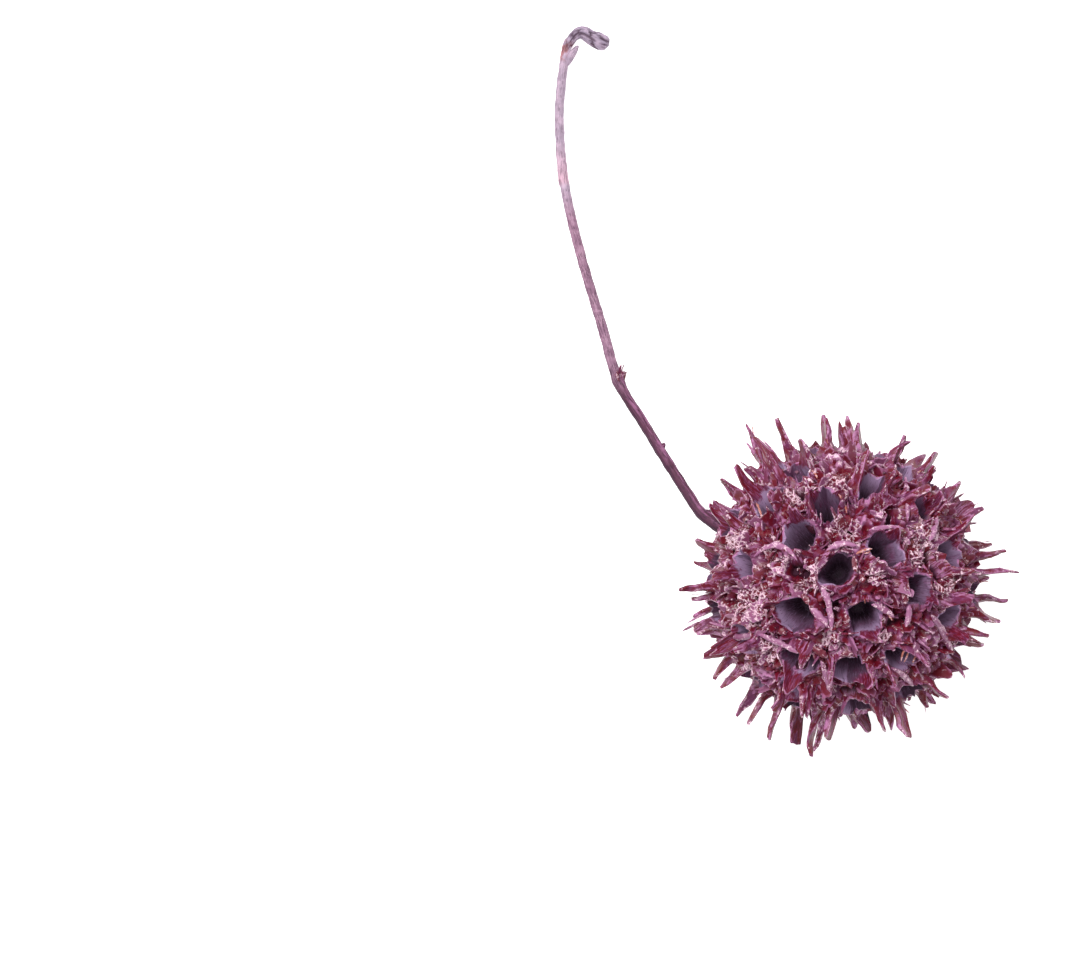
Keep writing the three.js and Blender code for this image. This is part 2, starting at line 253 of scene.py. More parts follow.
class SweetgumHead(bpy.types.PropertyGroup):
    """Sizes of the seed head, as distances from the ball's middle or from a capsule's axis."""

    capsules: count("Capsules", "Capsules on the whole head", 62)
    valley_radius: length("Valley radius", "Surface between the capsules", 13.6)
    rim_radius: length("Rim radius", "Low corners of a mouth", 14.3)
    mouth_radius: length("Mouth radius", "Middle of a mouth's sloping edge", 15.0)
    shoulder_level: length("Shoulder level", "Where a capsule's outer wall is widest", 12.8)
    cavity_floor: length("Cavity floor", "Bottom of a capsule's cavity", 9.8)
    foot_level: length("Foot level", "Sunk root of a capsule", 7.4)
    across_least: length("Least across", "Smallest half gap between the beaks", 1.75)
    across_most: length("Most across", "Largest half gap between the beaks", 2.15)
    along_least: length("Least along", "Smallest half gap between the corners", 1.95)
    along_most: length("Most along", "Largest half gap between the corners", 2.4)
    wall: length("Wall", "Thickness of the rim at its corners", 0.45)
    beak_wall: length("Beak wall", "What a beak adds to the rim's thickness", 0.3)
    shoulder: length("Shoulder", "Outer radius just under the valley", 3.05)
    foot: length("Foot", "Outer radius of the sunk root", 1.75)
    rise_least: length("Least rise", "Lowest beak above the mouth's corners", 2.4)
    rise_most: length("Most rise", "Highest beak above the mouth's corners", 4.7)
    sway: length("Sway", "Most sideways travel of a beak's tip", 0.9)
    ground_bite: length("Ground bite", "How far the lowest tips are worn flat", 0.5)
    torn_edge: length("Torn edge", "How far a mouth's edge is torn up and down", 0.8)
    rib: length("Rib", "Height of the ribs on the outer walls", 0.2)
    crumple: length("Crumple", "How far the walls are bent out of true", 0.34)
    bed_radius: length("Bed radius", "Plain round bed under the crust", 12.9)
    crust: length("Crust", "How high the broken crust is piled between the mouths", 0.7)
    roughness: length("Crust roughness", "Height of the crust's ridges and depth of its pits", 0.9)
    floor_share: share("Floor share", "Width of a cavity's floor against its mouth", 0.42)
    lean_least: share("Least lean", "Least outward travel of a beak for its rise", 0.05)
    lean_most: share("Most lean", "Most outward travel of a beak for its rise", 0.38)
    web_share: share("Web share", "How far up a beak its web reaches", 0.25)
    upper_wear: share("Upper wear", "Share broken off the beaks that face up", 0.5)


class SweetgumTissue(bpy.types.PropertyGroup):
    """Sizes of the broken tissue between the capsules."""

    crumbs: count("Crumbs", "Crumbs tried over the whole head", 6000)
    flakes: count("Flakes", "Torn flakes tried over the whole head", 2000)
    fibres: count("Fibres", "Loose fibres on each capsule", 5)
    crumb_least: length("Least crumb", "Smallest half length of a crumb", 0.14)
    crumb_most: length("Most crumb", "Largest half length of a crumb", 0.42)
    flake_least: length("Least flake", "Smallest height of a flake", 0.6)
    flake_most: length("Most flake", "Largest height of a flake", 1.9)
    shred_most: length("Most shred", "Largest height of a shred at a mouth's edge", 2.8)
    flake_wall: length("Flake wall", "Thickness of a flake at its foot", 0.34)
    fibre_least: length("Least fibre", "Shortest fibre", 0.7)
    fibre_most: length("Most fibre", "Longest fibre", 1.7)
    splinter_most: length("Most splinter", "Longest splinter", 2.6)
    fibre_radius: length("Fibre radius", "Half the thickness of a fibre", 0.085)
    shred_share: share("Shred share", "Share of the flakes that are long shreds", 0.22)
    splinter_share: share("Splinter share", "Share of the fibres that are stiff splinters", 0.22)


class SweetgumStem(bpy.types.PropertyGroup):
    """Sizes of the stem, with places along it as shares of its length."""

    root_radius: length("Root radius", "Radius of the stem near the head", 0.6)
    foot_radius: length("Foot radius", "Radius of the stem near its foot", 0.47)
    root_swell: length("Root swell", "What the stem gains where it meets the head", 0.55)
    foot_swell: length("Foot swell", "What the stem gains at its foot", 0.44)
    scar_swell: length("Scar swell", "What the stem gains at the scar", 0.16)
    ridge: length("Ridge", "Height of the bark's ridges", 0.05)
    root_reach: share("Root reach", "How far the swelling at the head reaches", 0.035)
    foot_start: share("Foot start", "Where the swelling at the foot starts", 0.9)
    scar_at: share("Scar place", "Where the scar lies", 0.34)
    scar_reach: share("Scar reach", "How far the scar reaches", 0.012)
    joint_at: share("Joint place", "Where the bare joint lies", 0.683)


class SweetgumDyes(bpy.types.PropertyGroup):
    """Colours of the dyed surfaces, with the painted light and shade on them."""

    # Shade is painted shade low between the capsules, in the crust's pits and on the bed; it is also the
    # darkest tone of the crumbs and the dark streaks of the lining
    shade: dye("Shade", "Dyed wood down between the capsules", 60, 22, 36)
    maroon: dye("Maroon", "Bare dyed wood", 104, 15, 33)
    plum: dye("Plum", "Dyed wood with a thin dusting", 110, 51, 88)
    lilac: dye("Lilac", "Paint on worn faces", 177, 115, 158)
    frost: dye("Frost", "Pale crumbs and edges", 236, 201, 215)
    lining: dye("Lining", "Smooth inside of the capsules", 102, 74, 99)
    # Painted light on some flat sides of the lining near the mouth; also the lining's pale streaks
    lining_painted_light_and_streak: dye("Pale lining", "Inside of the capsules by the mouth", 158, 130, 164)
    # Painted shade towards a cavity's floor, on some flat sides of the lining, low in the husk and on the bed
    lining_painted_shade: dye("Deep lining", "Inside of the capsules near the floor", 60, 42, 56)
    fibre: dye("Fibre", "Torn wood that took no dye", 186, 112, 92)
    bark_dark: dye("Dark bark", "Bark near the head", 86, 46, 67)
    bark_middle: dye("Middle bark", "Bark half way along the stem", 148, 111, 135)
    bark_pale: dye("Pale bark", "Bark near the stem's foot", 179, 160, 180)
    bark_grey: dye("Grey bark", "Bark of the bent foot", 166, 152, 174)
    bark_bare: dye("Bare bark", "Bark worn pale at the joint", 208, 168, 186)
    # Specks, streaks and cracks of the bark; also painted shade along one side of the stem near the head
    bark_speck_and_shade: dye("Bark specks", "Specks, streaks and cracks of the bark", 58, 34, 52)
    bark_salmon: dye("Salmon bark", "Bark worn to the wood at the hook", 176, 112, 112)


# Placing the capsules

def draw(index, prop):
    """A repeatable number from 0 to 1 for one property of one thing."""
    value = math.sin(index * 127.1 + prop * 311.7) * 43758.5453
    return value - math.floor(value)


def between(least, most, fraction):
    return least + (most - least) * fraction


def smoothstep(value, start, full):
    t = min(1.0, max(0.0, (value - start) / (full - start)))
    return t * t * (3.0 - 2.0 * t)


def crest(point):
    """Noise with sharp crests, from 0 in its valleys to 1 on its crests."""
    return max(0.0, 1.0 - 2.0 * abs(noise.noise(point)))


def direction(turn, lift):
    """A direction with a turn about the vertical and a lift above level, in degrees."""
    flat = math.cos(math.radians(lift))
    turn = math.radians(turn)
    return Vector((flat * math.cos(turn), flat * math.sin(turn), math.sin(math.radians(lift))))


def limb_row(index):
    """The row of a capsule that is listed on the ball's outline."""
    place = index - len(SEEN_MOUTHS)
    return LIMB_CAPSULES[place] if 0 <= place < len(LIMB_CAPSULES) else None


def seen_direction(right, away, radius):
    """The direction of a place on the ball that is seen from above."""
    return Vector((right, away, math.sqrt(radius**2 - right**2 - away**2))).normalized()


def capsule_axes(sizes):
    """Directions of all the capsules: the listed ones first, the others spread over what is left."""
    radius = sizes.mouth_radius / MM
    seen = [seen_direction(*row[:2], radius) for row in SEEN_MOUTHS]
    listed = seen + [direction(*row[:2]) for row in LIMB_CAPSULES]
    kept_clear = [seen_direction(*place, radius) for place in CRUMBLED_PLACES]
    kept_clear.append(Vector(STEM_ROUTE[1]).normalized())
    left = sizes.capsules - len(listed)
    top = min(axis.z for axis in seen)
    golden_turn = math.pi * (3.0 - math.sqrt(5.0))
    others = []
    for i in range(left):
        z = top - (i + 0.5) / left * (1.0 + top)
        ring = math.sqrt(1.0 - z * z)
        turn = SPREAD_START + i * golden_turn
        others.append(Vector((ring * math.cos(turn), ring * math.sin(turn), z)))
    for _ in range(SPREAD_ROUNDS):
        before = [axis.copy() for axis in (*others, *listed, *kept_clear)]
        for i, axis in enumerate(others):
            push = Vector()
            for j, neighbour in enumerate(before):
                if i != j:
                    away = before[i] - neighbour
                    push += away / away.length_squared**2
            others[i] = (axis + push * SPREAD_STEP).normalized()
    return listed + others


class Beak:
    """One of a capsule's two beaks."""

    def __init__(self, capsule, side, sizes):
        index = capsule.index
        facing = 1.0 if side == 0 else -1.0
        worn = sizes.upper_wear * smoothstep(capsule.axis.z, 0.6, 0.95)
        grown = between(sizes.rise_least, sizes.rise_most, draw(index, 6 + side)) * (1.0 - worn)
        lean = between(sizes.lean_least, sizes.lean_most, draw(index, 8 + side))
        style = OTHER_STYLES[int(draw(index, 16 + side) * len(OTHER_STYLES))]
        row = limb_row(index)
        if row:
            grown, lean, style = row[3 + 3 * side : 6 + 3 * side]
            grown *= MM
        self.lean = facing * lean
        self.sway = sizes.sway * (2.0 * draw(index, 10 + side) - 1.0)
        foot = Vector((facing * (capsule.across + sizes.wall + sizes.beak_wall), self.sway, sizes.rim_radius))
        self.rise = min(grown, self.rise_to_ground(capsule, foot, sizes))
        self.shape(style, draw(index, 12 + side), draw(index, 14 + side), facing)

    def shape(self, style, first, second, facing):
        """How slim, blunt, flared, forked or curled a beak of a style is."""
        self.sharpness = between(15.0, 30.0, first)
        self.curl = (second - 0.5) * 0.07 / MM
        self.finger = 0.0
        self.fork = 0.0
        self.cut = 1.0
        self.slant = 0.0
        self.flare = 0.0
        if style == "splinter":
            self.sharpness = between(40.0, 65.0, first)
        elif style == "broad":
            self.sharpness = between(8.0, 13.0, first)
            self.cut = between(0.8, 0.95, second)
            self.slant = 1.6 * (first - 0.5)
        elif style == "fork":
            self.fork = math.radians(between(9.0, 14.0, first))
        elif style == "finger":
            self.finger = between(0.3, 0.42, first)
            self.slant = 0.8 * (second - 0.5)
            self.flare = between(-0.25, 0.15, second)
        elif style == "paddle":
            self.finger = between(0.22, 0.3, first)
            self.slant = 0.8 * (second - 0.5)
            self.flare = between(0.5, 1.0, second)
        elif style == "hook":
            self.curl = -facing * between(0.06, 0.1, second) / MM

    def rise_to_ground(self, capsule, foot, sizes):
        """How far the beak can rise before its tip reaches the surface that the ball lies on."""
        fall = -(capsule.axis.z + self.lean * capsule.to_beak.z)
        if fall <= 0.0:
            return math.inf
        return (capsule.place(foot).z + sizes.ground_bite) / fall

    def outline(self, angle):
        """How far the rim at an angle round the mouth is spike, from 0 to 1 at the beak's middle."""
        spike = abs(math.cos(angle)) ** self.sharpness
        if self.finger:
            aside = math.asin(min(1.0, abs(math.sin(angle))))
            return 1.0 - smoothstep(aside, 0.45 * self.finger, self.finger)
        if self.fork:
            first = abs(math.cos(angle - self.fork)) ** (2.2 * self.sharpness)
            second = abs(math.cos(angle + self.fork)) ** (2.2 * self.sharpness)
            return max(first, 0.86 * second, 0.62 * spike)
        return spike

    def break_at(self, angle):
        """The share of the beak's rise at which its tip is broken off."""
        return self.cut + self.slant * math.sin(angle) * math.copysign(1.0, math.cos(angle))

    def bend(self, height):
        """How far the beak has leaned and swayed at a height above the mouth's corners."""
        if height <= 0.0:
            return 0.0, 0.0
        part = height / self.rise
        return (self.lean + self.curl * height) * height, self.sway * part * part

    def spread(self, height):
        """How much wider the beak is at a height than its plain outline."""
        return 1.0 + self.flare * max(0.0, height / self.rise) ** 2


class Capsule:
    """One capsule: its frame, its mouth and its two beaks."""

    def __init__(self, index, axis, sizes):
        self.index = index
        self.axis = axis
        self.sizes = sizes
        toward = Vector((draw(index, 1) - 0.5, draw(index, 2) - 0.5, draw(index, 3) - 0.5))
        self.across = between(sizes.across_least, sizes.across_most, draw(index, 4))
        self.along = between(sizes.along_least, sizes.along_most, draw(index, 5))
        row = limb_row(index)
        if index < len(SEEN_MOUTHS):
            toward = direction(SEEN_MOUTHS[index][2], 0.0)
            self.across, self.along = (half * MM for half in SEEN_MOUTHS[index][3:])
        elif row:
            toward = Matrix.Rotation(math.radians(row[2]), 3, axis) @ direction(row[0] + 90.0, 0.0)
        self.to_beak = (toward - axis * toward.dot(axis)).normalized()
        self.to_corner = axis.cross(self.to_beak)
        self.pinch = between(1.05, 1.8, draw(index, 24))
        self.corners = round(between(3.6, 5.4, draw(index, 25)))
        self.corner_turn = FULL_TURN * draw(index, 26)
        self.beaks = [Beak(self, side, sizes) for side in (0, 1)]

    def place(self, point):
        """A point of the capsule's own frame in the part's frame."""
        return BALL_MIDDLE + self.turned(point)

    def turned(self, way):
        """A direction of the capsule's own frame in the part's frame."""
        return self.to_beak * way.x + self.to_corner * way.y + self.axis * way.z

    def edge_gap(self, way):
        """How far a direction passes outside the mouth's edge, and its angle round the mouth."""
        x = way.dot(self.to_beak) * self.sizes.rim_radius / self.across
        y = way.dot(self.to_corner) * self.sizes.rim_radius / self.along
        return (math.hypot(x, y) - 1.0) * (self.across + self.along) / 2.0, math.atan2(y, x)

    def beak_at(self, angle):
        return self.beaks[0 if math.cos(angle) > 0.0 else 1]

    def rim(self, angle):
        """The rim's height at an angle and how far it is spike there."""
        sizes = self.sizes
        beak = self.beak_at(angle)
        spike = beak.outline(angle)
        c, s = math.cos(angle), math.sin(angle)
        coarse = noise.noise(Vector((2.6 * c, 2.6 * s, 7.1 * self.index)))
        fine = noise.noise(Vector((9.0 * c, 9.0 * s, 3.7 * self.index)))
        part = sizes.web_share * c * c + (1.0 - sizes.web_share) * spike
        part = min(part, beak.break_at(angle) + 0.06 * fine)
        torn = sizes.torn_edge * (coarse + 0.6 * fine) * (1.0 - 0.92 * spike)
        return sizes.rim_radius + beak.rise * part + torn, spike

    def inner(self, angle, z):
        """A point of the inner wall at an angle and a height."""
        sizes = self.sizes
        u = min(1.0, max(0.0, (z - sizes.cavity_floor) / (sizes.rim_radius - sizes.cavity_floor)))
        width = sizes.floor_share + (1.0 - sizes.floor_share) * u**0.75
        c, s = math.cos(angle), math.sin(angle)
        pinch = between(1.0, self.pinch, u)
        width *= self.wobble(angle, 0.5 + 0.5 * u)
        x = self.across * width * math.copysign(abs(c) ** pinch, c)
        return self.bent(Vector((x, self.along * width * s, z)), angle)

    def wobble(self, angle, fade):
        """How much wider than its plain outline the mouth is at an angle: an uneven polygon."""
        corner = FULL_TURN / self.corners
        flat = math.cos(corner / 2.0) / math.cos((angle + self.corner_turn) % corner - corner / 2.0)
        uneven = noise.noise(Vector((1.4 * math.cos(angle), 1.4 * math.sin(angle), 5.3 * self.index)))
        return between(1.0, (1.0 + 0.22 * uneven) * (0.2 + 0.88 * flat), fade)

    def facet(self, angle):
        """A number from 0 to 1 for the flat side of the mouth at an angle; it picks which sides of the lining
        get painted light and which get painted shade.
        """
        side = int((angle + self.corner_turn) % FULL_TURN / FULL_TURN * self.corners)
        return draw(8 * self.index + side, 27)

    def outer(self, angle, z, spike, top):
        """A point of the outer wall at an angle and a height, under a rim that is spike-like at its top."""
        sizes = self.sizes
        c, s = math.cos(angle), math.sin(angle)
        down = min(1.0, max(0.0, (top - z) / (top - sizes.shoulder_level)))
        wall = sizes.wall * (0.5 + 0.5 * down) + sizes.beak_wall * spike * (0.4 + 0.9 * down)
        wall += sizes.rib * self.rib(angle, z) * min(1.0, 4.0 * down)
        flare_top = sizes.rim_radius + 0.9 * MM
        flare = smoothstep(flare_top - z, 0.0, flare_top - sizes.shoulder_level)
        pinch = between(self.pinch, 1.0, flare)
        wobble = self.wobble(angle, 1.0 - flare)
        x = between(self.across * wobble + wall, sizes.shoulder, flare) * math.copysign(abs(c) ** pinch, c)
        y = between(self.along * wobble + wall, sizes.shoulder, flare) * s
        return self.bent(Vector((x, y, z)), angle)

    def rib(self, angle, z):
        """The ribs that run up the outer wall, from 0 between them to 1 on their crests."""
        return crest(Vector((6.5 * math.cos(angle), 6.5 * math.sin(angle), 0.2 * z / MM + 3.3 * self.index)))

    def bent(self, point, angle):
        """A point of a straight wall moved to where its beak has leaned, swayed and flared."""
        beak = self.beak_at(angle)
        height = point.z - self.sizes.rim_radius
        out, side = beak.bend(height)
        return Vector((point.x + out, point.y * beak.spread(height) + side, point.z))


class Capsules:
    """All the capsules of the head, and the one nearest to a direction."""

    def __init__(self, sizes):
        self.all = [Capsule(index, axis, sizes) for index, axis in enumerate(capsule_axes(sizes))]
        self.tree = kdtree.KDTree(len(self.all))
        for capsule in self.all:
            self.tree.insert(capsule.axis, capsule.index)
        self.tree.balance()

    def nearest(self, way):
        """The capsule whose mouth is nearest to a direction, the gap to its edge and the angle round it."""
        found = []
        for _, index, _ in self.tree.find_n(way, 3):
            gap, angle = self.all[index].edge_gap(way)
            found.append((gap, angle, self.all[index]))
        return min(found, key=lambda entry: entry[0])


# Mesh helpers

def object_of(name, mesh):
    piece = bpy.data.objects.new(name, mesh)
    bpy.context.scene.collection.objects.link(piece)
    return piece


def mesh_of(bm, name):
    mesh = bpy.data.meshes.new(name)
    bm.to_mesh(mesh)
    bm.free()
    return mesh


def finish_piece(piece, replaced=None, sharp=42.0):
    """Smooths a finished piece, sets it on the part's one body and hides the part's piece that it replaces.
    """
    piece.data.shade_smooth()
    piece.data.set_sharp_from_angle(angle=math.radians(sharp))
    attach(piece, "root")
    if replaced:
        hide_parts(replaced)


def add_piece(mesh, material, replaced=None, sharp=42.0):
    """Adds a mesh of one material as a finished piece of the same name."""
    mesh.materials.append(material)
    finish_piece(object_of(mesh.name, mesh), replaced, sharp)


def add_values(mesh, name, values):
    """Gives every vertex of a mesh its own value."""
    mesh.attributes.new(name, "FLOAT", "POINT").data.foreach_set("value", values)


def sphere_rings(bm, sides, rings):
    """A sphere whose vertices come with their angle and ring: ring 0 is the top pole."""
    made = bmesh.ops.create_uvsphere(bm, u_segments=sides, v_segments=rings, radius=1.0)
    for vert in made["verts"]:
        ring = round(math.acos(max(-1.0, min(1.0, vert.co.z))) / math.pi * rings)
        yield vert, math.atan2(vert.co.y, vert.co.x), ring


def above_ground(point):
    point.z = max(0.0, point.z)
    return point


def scatter(name, template, forms, tones, attribute_name="tone"):
    """Copies of a template mesh in one mesh, each moved into its own form, with a value for each copy."""
    bm = bmesh.new()
    for _ in forms:
        bm.from_mesh(template)
    corners = len(template.vertices)
    verts = iter(bm.verts)
    for form in forms:
        for vert in itertools.islice(verts, corners):
            vert.co = above_ground(form(vert.co))
    mesh = mesh_of(bm, name)
    add_values(mesh, attribute_name, [tone for tone in tones for _ in range(corners)])
    add_values(mesh, "dust", [dusting(vert.co) for vert in mesh.vertices])
    add_values(mesh, "edge", [rim_share(vert.co) for vert in template.vertices] * len(forms))
    return mesh


def rim_share(corner):
    """How near a template's vertex is to the free edge of what it becomes, from 0 to 1."""
    return max(0.0, min(1.0, 2.0 * max(abs(corner.x), corner.y)))


# Seed head

CAPSULE_SIDES = 52
INNER_RINGS = 9
OUTER_RINGS = 12
CAPSULE_RINGS = INNER_RINGS + OUTER_RINGS + 3
ROOM_SIDES = 24
ROOM_RINGS = 8

# How far a capsule's vertices are crowded towards its beaks
BEAK_CROWDING = 0.28

# Dip in the middle of a cavity's floor and rise of a rim between its two walls
FLOOR_DIP = 0.6 * MM
LIP_RISE = 0.08 * MM

# Levels at which a wall starts to crumple and is crumpled most, and the sizes of its lumps
CRUMPLE_LEVELS = (11.0 * MM, 13.6 * MM)
BROAD_LUMP = 1.7 * MM
FINE_LUMP = 0.5 * MM


def capsule_vertex(capsule, angle, ring):
    """Where a capsule's vertex goes, and how far it is on the inside."""
    sizes = capsule.sizes
    top, spike = capsule.rim(angle)
    if ring == 0:
        return Vector((0.0, 0.0, sizes.cavity_floor - FLOOR_DIP)), 1.0
    if ring <= INNER_RINGS:
        return capsule.inner(angle, between(sizes.cavity_floor, top, (ring - 1) / (INNER_RINGS - 1))), 1.0
    if ring == INNER_RINGS + 1:
        lip = (capsule.inner(angle, top) + capsule.outer(angle, top, spike, top)) / 2.0
        lip.z += LIP_RISE
        return lip, 0.5
    if ring <= INNER_RINGS + 1 + OUTER_RINGS:
        z = between(top, sizes.shoulder_level, (ring - INNER_RINGS - 2) / (OUTER_RINGS - 1))
        return capsule.outer(angle, z, spike, top), 0.0
    if ring < CAPSULE_RINGS:
        return Vector((sizes.foot * math.cos(angle), sizes.foot * math.sin(angle), sizes.foot_level)), 0.0
    return Vector((0.0, 0.0, sizes.foot_level)), 0.0


def crumpled(point, z, inside, sizes):
    """A point of a wall bent out of true, most in its upper parts, with fine lumps on the outside too."""
    amount = sizes.crumple * (0.15 + 0.85 * smoothstep(z, *CRUMPLE_LEVELS))
    coarse = noise.noise_vector(point * (1.0 / BROAD_LUMP))
    fine = noise.noise_vector(point * (1.0 / FINE_LUMP))
    return point + coarse * amount + fine * (0.22 * sizes.crumple * (1.0 - inside))


def capsule_mesh(capsule, materials):
    """A capsule's closed wall, with its inside in the lining's material."""
    bm = bmesh.new()
    inside_layer = bm.verts.layers.float.new("inside")
    crest_layer = bm.verts.layers.float.new("crest")
    dust_layer = bm.verts.layers.float.new("dust")
    facet_layer = bm.verts.layers.float.new("facet")
    grain_layer = bm.verts.layers.float_vector.new("grain")
    for vert, turn, ring in sphere_rings(bm, CAPSULE_SIDES, CAPSULE_RINGS):
        angle = turn - BEAK_CROWDING * math.sin(2.0 * turn)
        point, inside = capsule_vertex(capsule, angle, ring)
        vert.co = crumpled(capsule.place(point), point.z, inside, capsule.sizes)
        vert[inside_layer] = inside
        vert[crest_layer] = capsule.rib(angle, point.z)
        vert[dust_layer] = dusting(vert.co)
        vert[facet_layer] = capsule.facet(angle)
        grain_z = 0.25 * point.z / MM + 9.0 * capsule.index
        vert[grain_layer] = (4.0 * math.cos(angle), 4.0 * math.sin(angle), grain_z)
    for face in bm.faces:
        face.material_index = 2 if min(vert[inside_layer] for vert in face.verts) > 0.4 else 1
    mesh = mesh_of(bm, "capsule")
    for material in materials:
        mesh.materials.append(material)
    return mesh


def room_mesh(capsule, material):
    """The room that a capsule takes out of the round middle."""
    sizes = capsule.sizes
    grow = sizes.wall / 2.0
    bm = bmesh.new()
    for vert, angle, ring in sphere_rings(bm, ROOM_SIDES, ROOM_RINGS):
        if ring in (0, ROOM_RINGS):
            end = sizes.cavity_floor - 4.0 * grow if ring else sizes.rim_radius * 1.2
            vert.co = capsule.place(Vector((0.0, 0.0, end)))
            continue
        z = between(sizes.rim_radius * 1.1, sizes.cavity_floor - 3.0 * grow, (ring - 1) / (ROOM_RINGS - 2))
        point = capsule.inner(angle, min(z, sizes.rim_radius))
        point.xy += point.xy.normalized() * grow
        point.z = z
        vert.co = crumpled(capsule.place(point), z, 1.0, sizes)
    mesh = mesh_of(bm, "room")
    mesh.materials.append(material)
    return mesh


def pit_depth(point):
    """Cells with sharp edges, from 0 on their edges to 1 in their middles."""
    distances = noise.voronoi(point)[0]
    return smoothstep(distances[1] - distances[0], 0.02, 0.5)


def crust_rise(way, gap, sizes):
    """How far the broken crust rises over the valley in a direction, and how near it is to a crest there."""
    point = way * (sizes.valley_radius / MM)
    point += 0.4 * noise.noise_vector(point / 1.1)
    piled = smoothstep(gap, -0.2 * MM, 0.5 * MM)
    gorge = smoothstep(noise.noise(point / 2.1), 0.18, 0.5) * smoothstep(gap, 0.2 * MM, 0.9 * MM)
    ridge = crest(point / 1.5)
    pit = 0.65 * pit_depth(point / 0.95) + 0.35 * pit_depth(point / 0.45)
    rough = sizes.roughness * (ridge - 0.3 - 0.75 * pit) * between(0.5, 1.0, piled)
    rise = sizes.crust * (piled - 1.8 * gorge) + rough
    return rise, (1.0 - pit) * (0.5 + 0.5 * ridge) * (1.0 - gorge)


def bed_mesh(sizes):
    """The plain round bed under the crust, which joins the capsules."""
    bm = bmesh.new()
    for name in ("inside", "crest", "dust", "facet"):
        bm.verts.layers.float.new(name)
    bm.verts.layers.float_vector.new("grain")
    place = Matrix.Translation(BALL_MIDDLE)
    bmesh.ops.create_icosphere(bm, subdivisions=5, radius=sizes.bed_radius, matrix=place)
    return mesh_of(bm, "bed")


def crust_mesh(capsules, sizes):
    """The round skin that the capsules break through, with its ridges and pits."""
    bm = bmesh.new()
    crest_layer = bm.verts.layers.float.new("crest")
    dust_layer = bm.verts.layers.float.new("dust")
    made = bmesh.ops.create_icosphere(bm, subdivisions=7, radius=1.0)
    for vert in made["verts"]:
        way = vert.co.normalized()
        gap = capsules.nearest(way)[0]
        rise = 0.0
        if gap > -0.6 * MM:
            rise, vert[crest_layer] = crust_rise(way, gap, sizes)
        vert.co = BALL_MIDDLE + way * (sizes.valley_radius + rise)
        vert[dust_layer] = dusting(vert.co)
    return mesh_of(bm, "crust")


def ground_mesh(material):
    """Everything below the surface that the ball lies on."""
    bm = bmesh.new()
    size = 100.0 * MM
    middle = Vector((BALL_MIDDLE.x, BALL_MIDDLE.y, -size / 2.0))
    bmesh.ops.create_cube(bm, size=size, matrix=Matrix.Translation(middle))
    mesh = mesh_of(bm, "ground")
    mesh.materials.append(material)
    return mesh


def combine(piece, operation, meshes):
    """Joins meshes to a piece or cuts them from it, as solids."""
    tools = bpy.data.collections.new("tools")
    for mesh in meshes:
        tools.objects.link(bpy.data.objects.new(mesh.name, mesh))
    step = piece.modifiers.new(operation, "BOOLEAN")
    step.operation = operation
    step.solver = "MANIFOLD"
    step.operand_type = "COLLECTION"
    step.collection = tools
    depsgraph = bpy.context.evaluated_depsgraph_get()
    result = bpy.data.meshes.new_from_object(piece.evaluated_get(depsgraph), depsgraph=depsgraph)
    piece.modifiers.remove(step)
    for tool in list(tools.objects):
        bpy.data.objects.remove(tool)
    bpy.data.collections.remove(tools)
    result.name = piece.name
    piece.data = result


class SWEETGUM_OT_head(bpy.types.Operator):
    """Model the fused capsules of the seed head"""

    bl_idname = "sweetgum.head"
    bl_label = "Seed head"

    def execute(self, context):
        sizes = context.scene.sweetgum_head
        capsules = Capsules(sizes)
        materials = (bed_material(context), husk_material(context), lining_material(context))
        head = object_of("husk", bed_mesh(sizes))
        for material in materials:
            head.data.materials.append(material)
        combine(head, "DIFFERENCE", [room_mesh(capsule, materials[0]) for capsule in capsules.all])
        combine(head, "UNION", [capsule_mesh(capsule, materials) for capsule in capsules.all])
        combine(head, "DIFFERENCE", [ground_mesh(materials[1])])
        finish_piece(head, "seed_head", sharp=26.0)
        return {"FINISHED"}


class SWEETGUM_OT_crust(bpy.types.Operator):
    """Model the pitted crust between the capsules"""

    bl_idname = "sweetgum.crust"
    bl_label = "Crust"

    def execute(self, context):
        sizes = context.scene.sweetgum_head
        capsules = Capsules(sizes)
        crust = object_of("crust", crust_mesh(capsules, sizes))
        material = crust_material(context)
        crust.data.materials.append(material)
        combine(crust, "DIFFERENCE", [room_mesh(capsule, material) for capsule in capsules.all])
        finish_piece(crust, sharp=50.0)
        return {"FINISHED"}


# Broken tissue between the capsules

def tissue_places(capsules, sizes, tries, stream):
    """Places on walls and crust: the point, the way out, the way along the mouth's edge and the gap to it."""
    clear_of_ground = 1.0 * MM
    wall_zone = 0.75 * MM
    over_mouth = -0.12 * MM
    places = []
    for number in range(tries):
        z = 1.0 - 2.0 * draw(number, stream)
        ring = math.sqrt(1.0 - z * z)
        turn = FULL_TURN * draw(number, stream + 1)
        way = Vector((ring * math.cos(turn), ring * math.sin(turn), z))
        gap, angle, capsule = capsules.nearest(way)
        if gap < over_mouth:
            continue
        if gap < wall_zone:
            top, spike = capsule.rim(angle)
            upper = min(top - 0.1 * MM, sizes.rim_radius + 1.0 * MM)
            level = between(upper, sizes.valley_radius, gap / wall_zone)
            point = capsule.place(capsule.outer(angle, level, spike, top))
        else:
            point = BALL_MIDDLE + way * (sizes.valley_radius + crust_rise(way, gap, sizes)[0])
        if point.z > clear_of_ground:
            edge = capsule.turned(Vector((-math.sin(angle), math.cos(angle), 0.0)))
            places.append((point, way, edge, gap))
    return places


def dusting(point):
    """How crumbled and dusted the head is around a point, from 0 to 1."""
    offset = (point - BALL_MIDDLE) / MM
    found = 0.35 * smoothstep(noise.noise(offset / 3.4 + Vector((4.7, 1.3, 8.9))), 0.1, 0.5)
    if offset.z > 0.0:
        for right, away, reach in DUSTED_PLACES:
            apart = math.hypot(offset.x - right, offset.y - away) / reach
            found = max(found, math.exp(-apart * apart))
    return found


def random_turn(number, stream):
    return Euler([FULL_TURN * draw(number, stream + i) for i in range(3)]).to_matrix()


